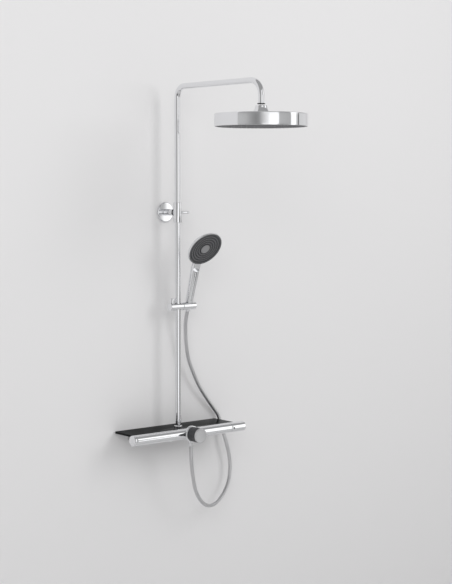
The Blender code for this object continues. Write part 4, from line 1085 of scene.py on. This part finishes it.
def make_inlets():
    """Offset unions with their hexagon nuts and wall rosettes."""
    for side in ("cold", "hot"):
        low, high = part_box(f"inlet_union_{side}")
        x = (low.x + high.x) / 2
        wall_end = Vector((x, 0, WALL_INLET_Z))
        mixer_end = Vector((x, UNION_STEP_Y, INLET_Z))
        union = rod(f"offset_union_{side}", "chrome", 12 * MM, 58 * MM, wall_end, FRONT, 1.5 * MM, 72)
        reach = rod("reach", "chrome", 11.8 * MM, UNION_STEP_Y - low.y, mixer_end, FRONT, 0.6 * MM, 72)
        stands_for(combine(union, "UNION", reach), f"inlet_union_{side}")
        low, high, length = spans(f"union_nut_{side}", "y")
        flats = (high.z - low.z) / 2
        ease = 1.2 * MM
        outline = rounded((UNION_WAY, 0), (flats - ease, 0), (flats, ease), (flats, length - ease),
                          (flats - ease, length), (UNION_WAY, length))
        turned_for(f"union_nut_{side}", f"hexagon_nut_{side}", outline, facing(x, high.y, INLET_Z), ring=True,
                   swell=hexagon)
        depth = spans(f"wall_rosette_{side}", "y")[2]
        outline = rounded((UNION_WAY, 0), (24 * MM, 0, 0.4 * MM), (24 * MM, 2.5 * MM, 1 * MM),
                          (19 * MM, depth, 3 * MM), (UNION_WAY, depth))
        turned_for(f"wall_rosette_{side}", f"rosette_{side}", outline, facing(x, 0, WALL_INLET_Z), ring=True)


def hexagon(angle, radius, height):
    """Draw a round outline in to six flats."""
    if radius < 12.5 * MM:
        return 0
    turn = (angle + math.pi / 6) % (math.pi / 3) - math.pi / 6
    return min(0, NUT_FLAT / math.cos(turn) - radius)


def make_shelf():
    """Black glass plate with round corners and polished edges, on two folded brackets."""
    low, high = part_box("shelf_panel")
    edge = 0.9 * MM
    corner = 5 * MM
    hole = 14.3 * MM
    line = bpy.data.curves.new("plate", "CURVE")
    line.dimensions = "2D"
    line.fill_mode = "BOTH"
    line.extrude = (high.z - low.z) / 2 - edge
    line.bevel_depth = edge
    line.bevel_resolution = 3
    line.offset = -edge
    outer = line.splines.new("POLY")
    points = []
    for x, y, start in ((high.x, high.y, 0), (low.x, high.y, 90), (low.x, low.y, 180), (high.x, low.y, 270)):
        centre = Vector((x - math.copysign(corner, x), y - math.copysign(corner, y - RISER.y)))
        for step in range(9):
            angle = math.radians(start + 90 * step / 8)
            points.append(centre + Vector((math.cos(angle), math.sin(angle))) * corner)
    circle = [Vector((0, RISER.y)) + Vector((math.cos(a), math.sin(a))) * hole
              for a in [-math.tau * index / 64 for index in range(64)]]
    inner = line.splines.new("POLY")
    for spline, outline in ((outer, points), (inner, circle)):
        spline.points.add(len(outline) - 1)
        for knot, point in zip(spline.points, outline):
            knot.co = (point.x, point.y, 0, 1)
        spline.use_cyclic_u = True
    rough = placed("plate", line)
    data = settled_mesh(rough)
    bpy.data.objects.remove(rough, do_unlink=True)
    data.transform(Matrix.Translation((0, 0, (low.z + high.z) / 2)))
    shape = bmesh.new()
    shape.from_mesh(data)
    bmesh.ops.remove_doubles(shape, verts=shape.verts, dist=0.01 * MM)
    stands_for(new_piece("glass_shelf", shape, "black_glass"), "shelf_panel")


def box_shape(shape, low, high):
    """Add a box between two corners."""
    size = high - low
    place = Matrix.Translation((low + high) / 2) @ Matrix.Diagonal((*size, 1))
    bmesh.ops.create_cube(shape, size=1.0, matrix=place)


def make_shelf_brackets():
    """Folded steel angles under the shelf, with rounded edges and a countersunk hole."""
    for side in ("left", "right"):
        node = f"shelf_bracket_{side}"
        low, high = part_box(node)
        thick = 4 * MM
        shape = bmesh.new()
        box_shape(shape, Vector((low.x, low.y, high.z - thick)), high)
        tongue = new_piece(f"shelf_angle_{side}", shape, "steel")
        shape = bmesh.new()
        box_shape(shape, Vector((low.x, -3.8 * MM, low.z)), Vector((high.x, high.y, high.z - MM)))
        plate = new_piece("plate", shape, "steel")
        combine(tongue, "UNION", plate)
        outline = [(0, -4 * MM), (2.6 * MM, -4 * MM), (2.6 * MM, 2 * MM), (5.4 * MM, 5 * MM), (0, 5 * MM)]
        place = facing((low.x + high.x) / 2, 0, high.z - 18 * MM)
        hole = turned("hole", "steel", outline, place, SMALL_SIDES)
        combine(tongue, "DIFFERENCE", hole)
        ease = tongue.modifiers.new("eased", "BEVEL")
        ease.width = 0.5 * MM
        ease.segments = 3
        ease.limit_method = "ANGLE"
        ease.angle_limit = math.radians(60)
        stands_for(combine(tongue, "UNION"), node)


make_inlets()
make_shelf()
make_shelf_brackets()


# ---------------------------------------------------------------- CAD nodes that stay
for name, node in frame["nodes"].items():
    if not node.hide_render:
        node.data.materials.clear()
        node.data.materials.append(FINISHES[SLOTS[name]])


# ---------------------------------------------------------------- room, lamps and world
FLOOR_Z = -1.0
ROOM_HALF_WIDTH = 3.5
ROOM_DEPTH = 2.0
WALL_TOP_Z = 3.2


def backdrop_material(name, colour):
    """A plain matt surface that can be looked through from behind."""
    made, tree, shader = start_material(name, colour, roughness=0.8, Specular_IOR_Level=0.1)
    clear = tree.nodes.new("ShaderNodeBsdfTransparent")
    side = tree.nodes.new("ShaderNodeNewGeometry")
    mix = tree.nodes.new("ShaderNodeMixShader")
    sources = (side.outputs["Backfacing"], shader.outputs["BSDF"], clear.outputs["BSDF"])
    for socket, source in zip(mix.inputs, sources):
        feed(tree, socket, source)
    feed(tree, tree.nodes["Material Output"].inputs["Surface"], mix.outputs["Shader"])
    return made


def backdrop(name, colour, corners):
    """A flat stage surface that faces the room."""
    data = bpy.data.meshes.new(name)
    data.from_pydata(corners, [], [tuple(range(len(corners)))])
    data.materials.append(backdrop_material(name, colour))
    placed(name, data)


def lamp(name, power, size, height, at, target):
    """A soft rectangular lamp that does not show in what is polished."""
    data = bpy.data.lights.new(name, "AREA")
    data.shape = "RECTANGLE"
    data.size = size
    data.size_y = height
    data.energy = power
    made = placed(name, data)
    made.location = at
    made.rotation_euler = (Vector(target) - Vector(at)).to_track_quat("-Z", "Y").to_euler()
    made.visible_glossy = False


def band_colour(tree, turn, stops):
    """Brightness round the room at one height, from (degrees right of straight out, brightness)."""
    ramp = add(tree, "ShaderNodeValToRGB", {"Fac": turn})
    marks = ramp.color_ramp.elements
    while len(marks) > 1:
        marks.remove(marks[0])
    for index, (degrees, value) in enumerate(stops):
        place = (degrees + 180) / 360
        mark = marks.new(place) if index else marks[0]
        mark.position = place
        mark.color = (value, value, value, 1)
    return ramp.outputs["Color"]


def between(tree, value, low, high):
    """0 below low, 1 above high, and an even rise between them."""
    limits = {"Value": value, "From Min": low, "From Max": high}
    return add(tree, "ShaderNodeMapRange", limits).outputs["Result"]


LEVEL_BANDS = [(-180, 0.6), (-92, 0.55), (-78, 0.5), (-62, 0.33), (-53, 0.27), (-46, 0.32), (-25, 0.95),
               (-19, 1.3), (2, 1.3), (3.5, 0.54), (36, 0.46), (38, 1.35), (51, 1.35), (54, 0.8), (59, 0.6),
               (60.5, 0.08), (62.5, 0.08), (65, 0.72), (92, 0.75), (180, 0.6)]
LOW_BANDS = [(-180, 0.3), (-92, 0.42), (-60, 0.38), (-42, 0.30), (-37, 1.3), (-3, 1.3), (1, 0.2), (20, 0.08),
             (32, 0.2), (36, 1.3), (47, 1.3), (50, 0.4), (58, 0.35), (66, 0.18), (92, 0.3), (180, 0.3)]
DEEP_BANDS = [(-180, 0.3), (-85, 0.4), (-74, 0.36), (-68, 0.12), (-38, 0.1), (-30, 0.3), (-14, 0.35),
              (-11, 1.2), (-3, 1.2), (0, 0.12), (20, 0.3), (40, 0.45), (92, 0.3), (180, 0.3)]
HIGH_BANDS = [(-180, 0.5), (-70, 0.36), (-45, 0.34), (-32, 0.9), (0, 1.0), (5, 0.4), (35, 0.4), (37.5, 1.45),
              (60, 1.45), (66, 0.5), (180, 0.5)]
# how far up a band starts to show and has taken over, where 1 is straight up, and the band
RISING_BANDS = [(-0.32, -0.22, LOW_BANDS), (-0.05, -0.005, LEVEL_BANDS), (0.08, 0.14, HIGH_BANDS)]
CEILING_RISE = (0.46, 0.56)
CEILING = 0.36
PLAIN_LIGHT = 0.74  # what matt surfaces are lit by
PAPER = 0.88  # what the viewer sees behind everything


def set_world():
    """Even light; what is polished reflects a plain room with windows, and the viewer sees pale paper."""
    world = bpy.data.worlds.new("room")
    bpy.context.scene.world = world
    world.use_nodes = True
    tree = world.node_tree
    looking = tree.nodes.new("ShaderNodeTexCoord").outputs["Generated"]
    axes = add(tree, "ShaderNodeSeparateXYZ", {"Vector": looking}).outputs
    angle = maths(tree, "ARCTAN2", axes["X"], maths(tree, "MULTIPLY", axes["Y"], -1.0))
    turn = maths(tree, "ADD", maths(tree, "MULTIPLY", angle, 1 / math.tau), 0.5)
    room = band_colour(tree, turn, DEEP_BANDS)
    for start, end, stops in RISING_BANDS:
        room = blended(tree, between(tree, axes["Z"], start, end), room, band_colour(tree, turn, stops))
    room = blended(tree, between(tree, axes["Z"], *CEILING_RISE), room, CEILING)
    rays = tree.nodes.new("ShaderNodeLightPath").outputs
    lit = blended(tree, rays["Is Glossy Ray"], PLAIN_LIGHT, room)
    lit = blended(tree, rays["Is Transmission Ray"], lit, PAPER)
    feed(tree, tree.nodes["Background"].inputs["Color"], blended(tree, rays["Is Camera Ray"], lit, PAPER))


def set_room():
    """Pale wall and floor, a key lamp in front to the right and a fill in front to the left."""
    wall_y = -0.4 * MM  # just in front of the faces that touch it, so that they show from behind
    left = -ROOM_HALF_WIDTH
    right = ROOM_HALF_WIDTH
    backdrop("wall", (0.76, 0.755, 0.76), [(left, wall_y, FLOOR_Z), (right, wall_y, FLOOR_Z),
                                           (right, wall_y, WALL_TOP_Z), (left, wall_y, WALL_TOP_Z)])
    backdrop("floor", (0.62, 0.62, 0.62), [(left, -ROOM_DEPTH, FLOOR_Z), (right, -ROOM_DEPTH, FLOOR_Z),
                                           (right, wall_y, FLOOR_Z), (left, wall_y, FLOOR_Z)])
    lamp("key", 29, 1.2, 2.2, (1.4, -3.1, 2.1), (0, 0, 1.0))
    lamp("fill", 28, 2.0, 2.0, (-2.6, -2.9, 1.9), (-0.3, 0, 0.3))
    set_world()
    bpy.context.scene.view_settings.view_transform = "Standard"


set_room()
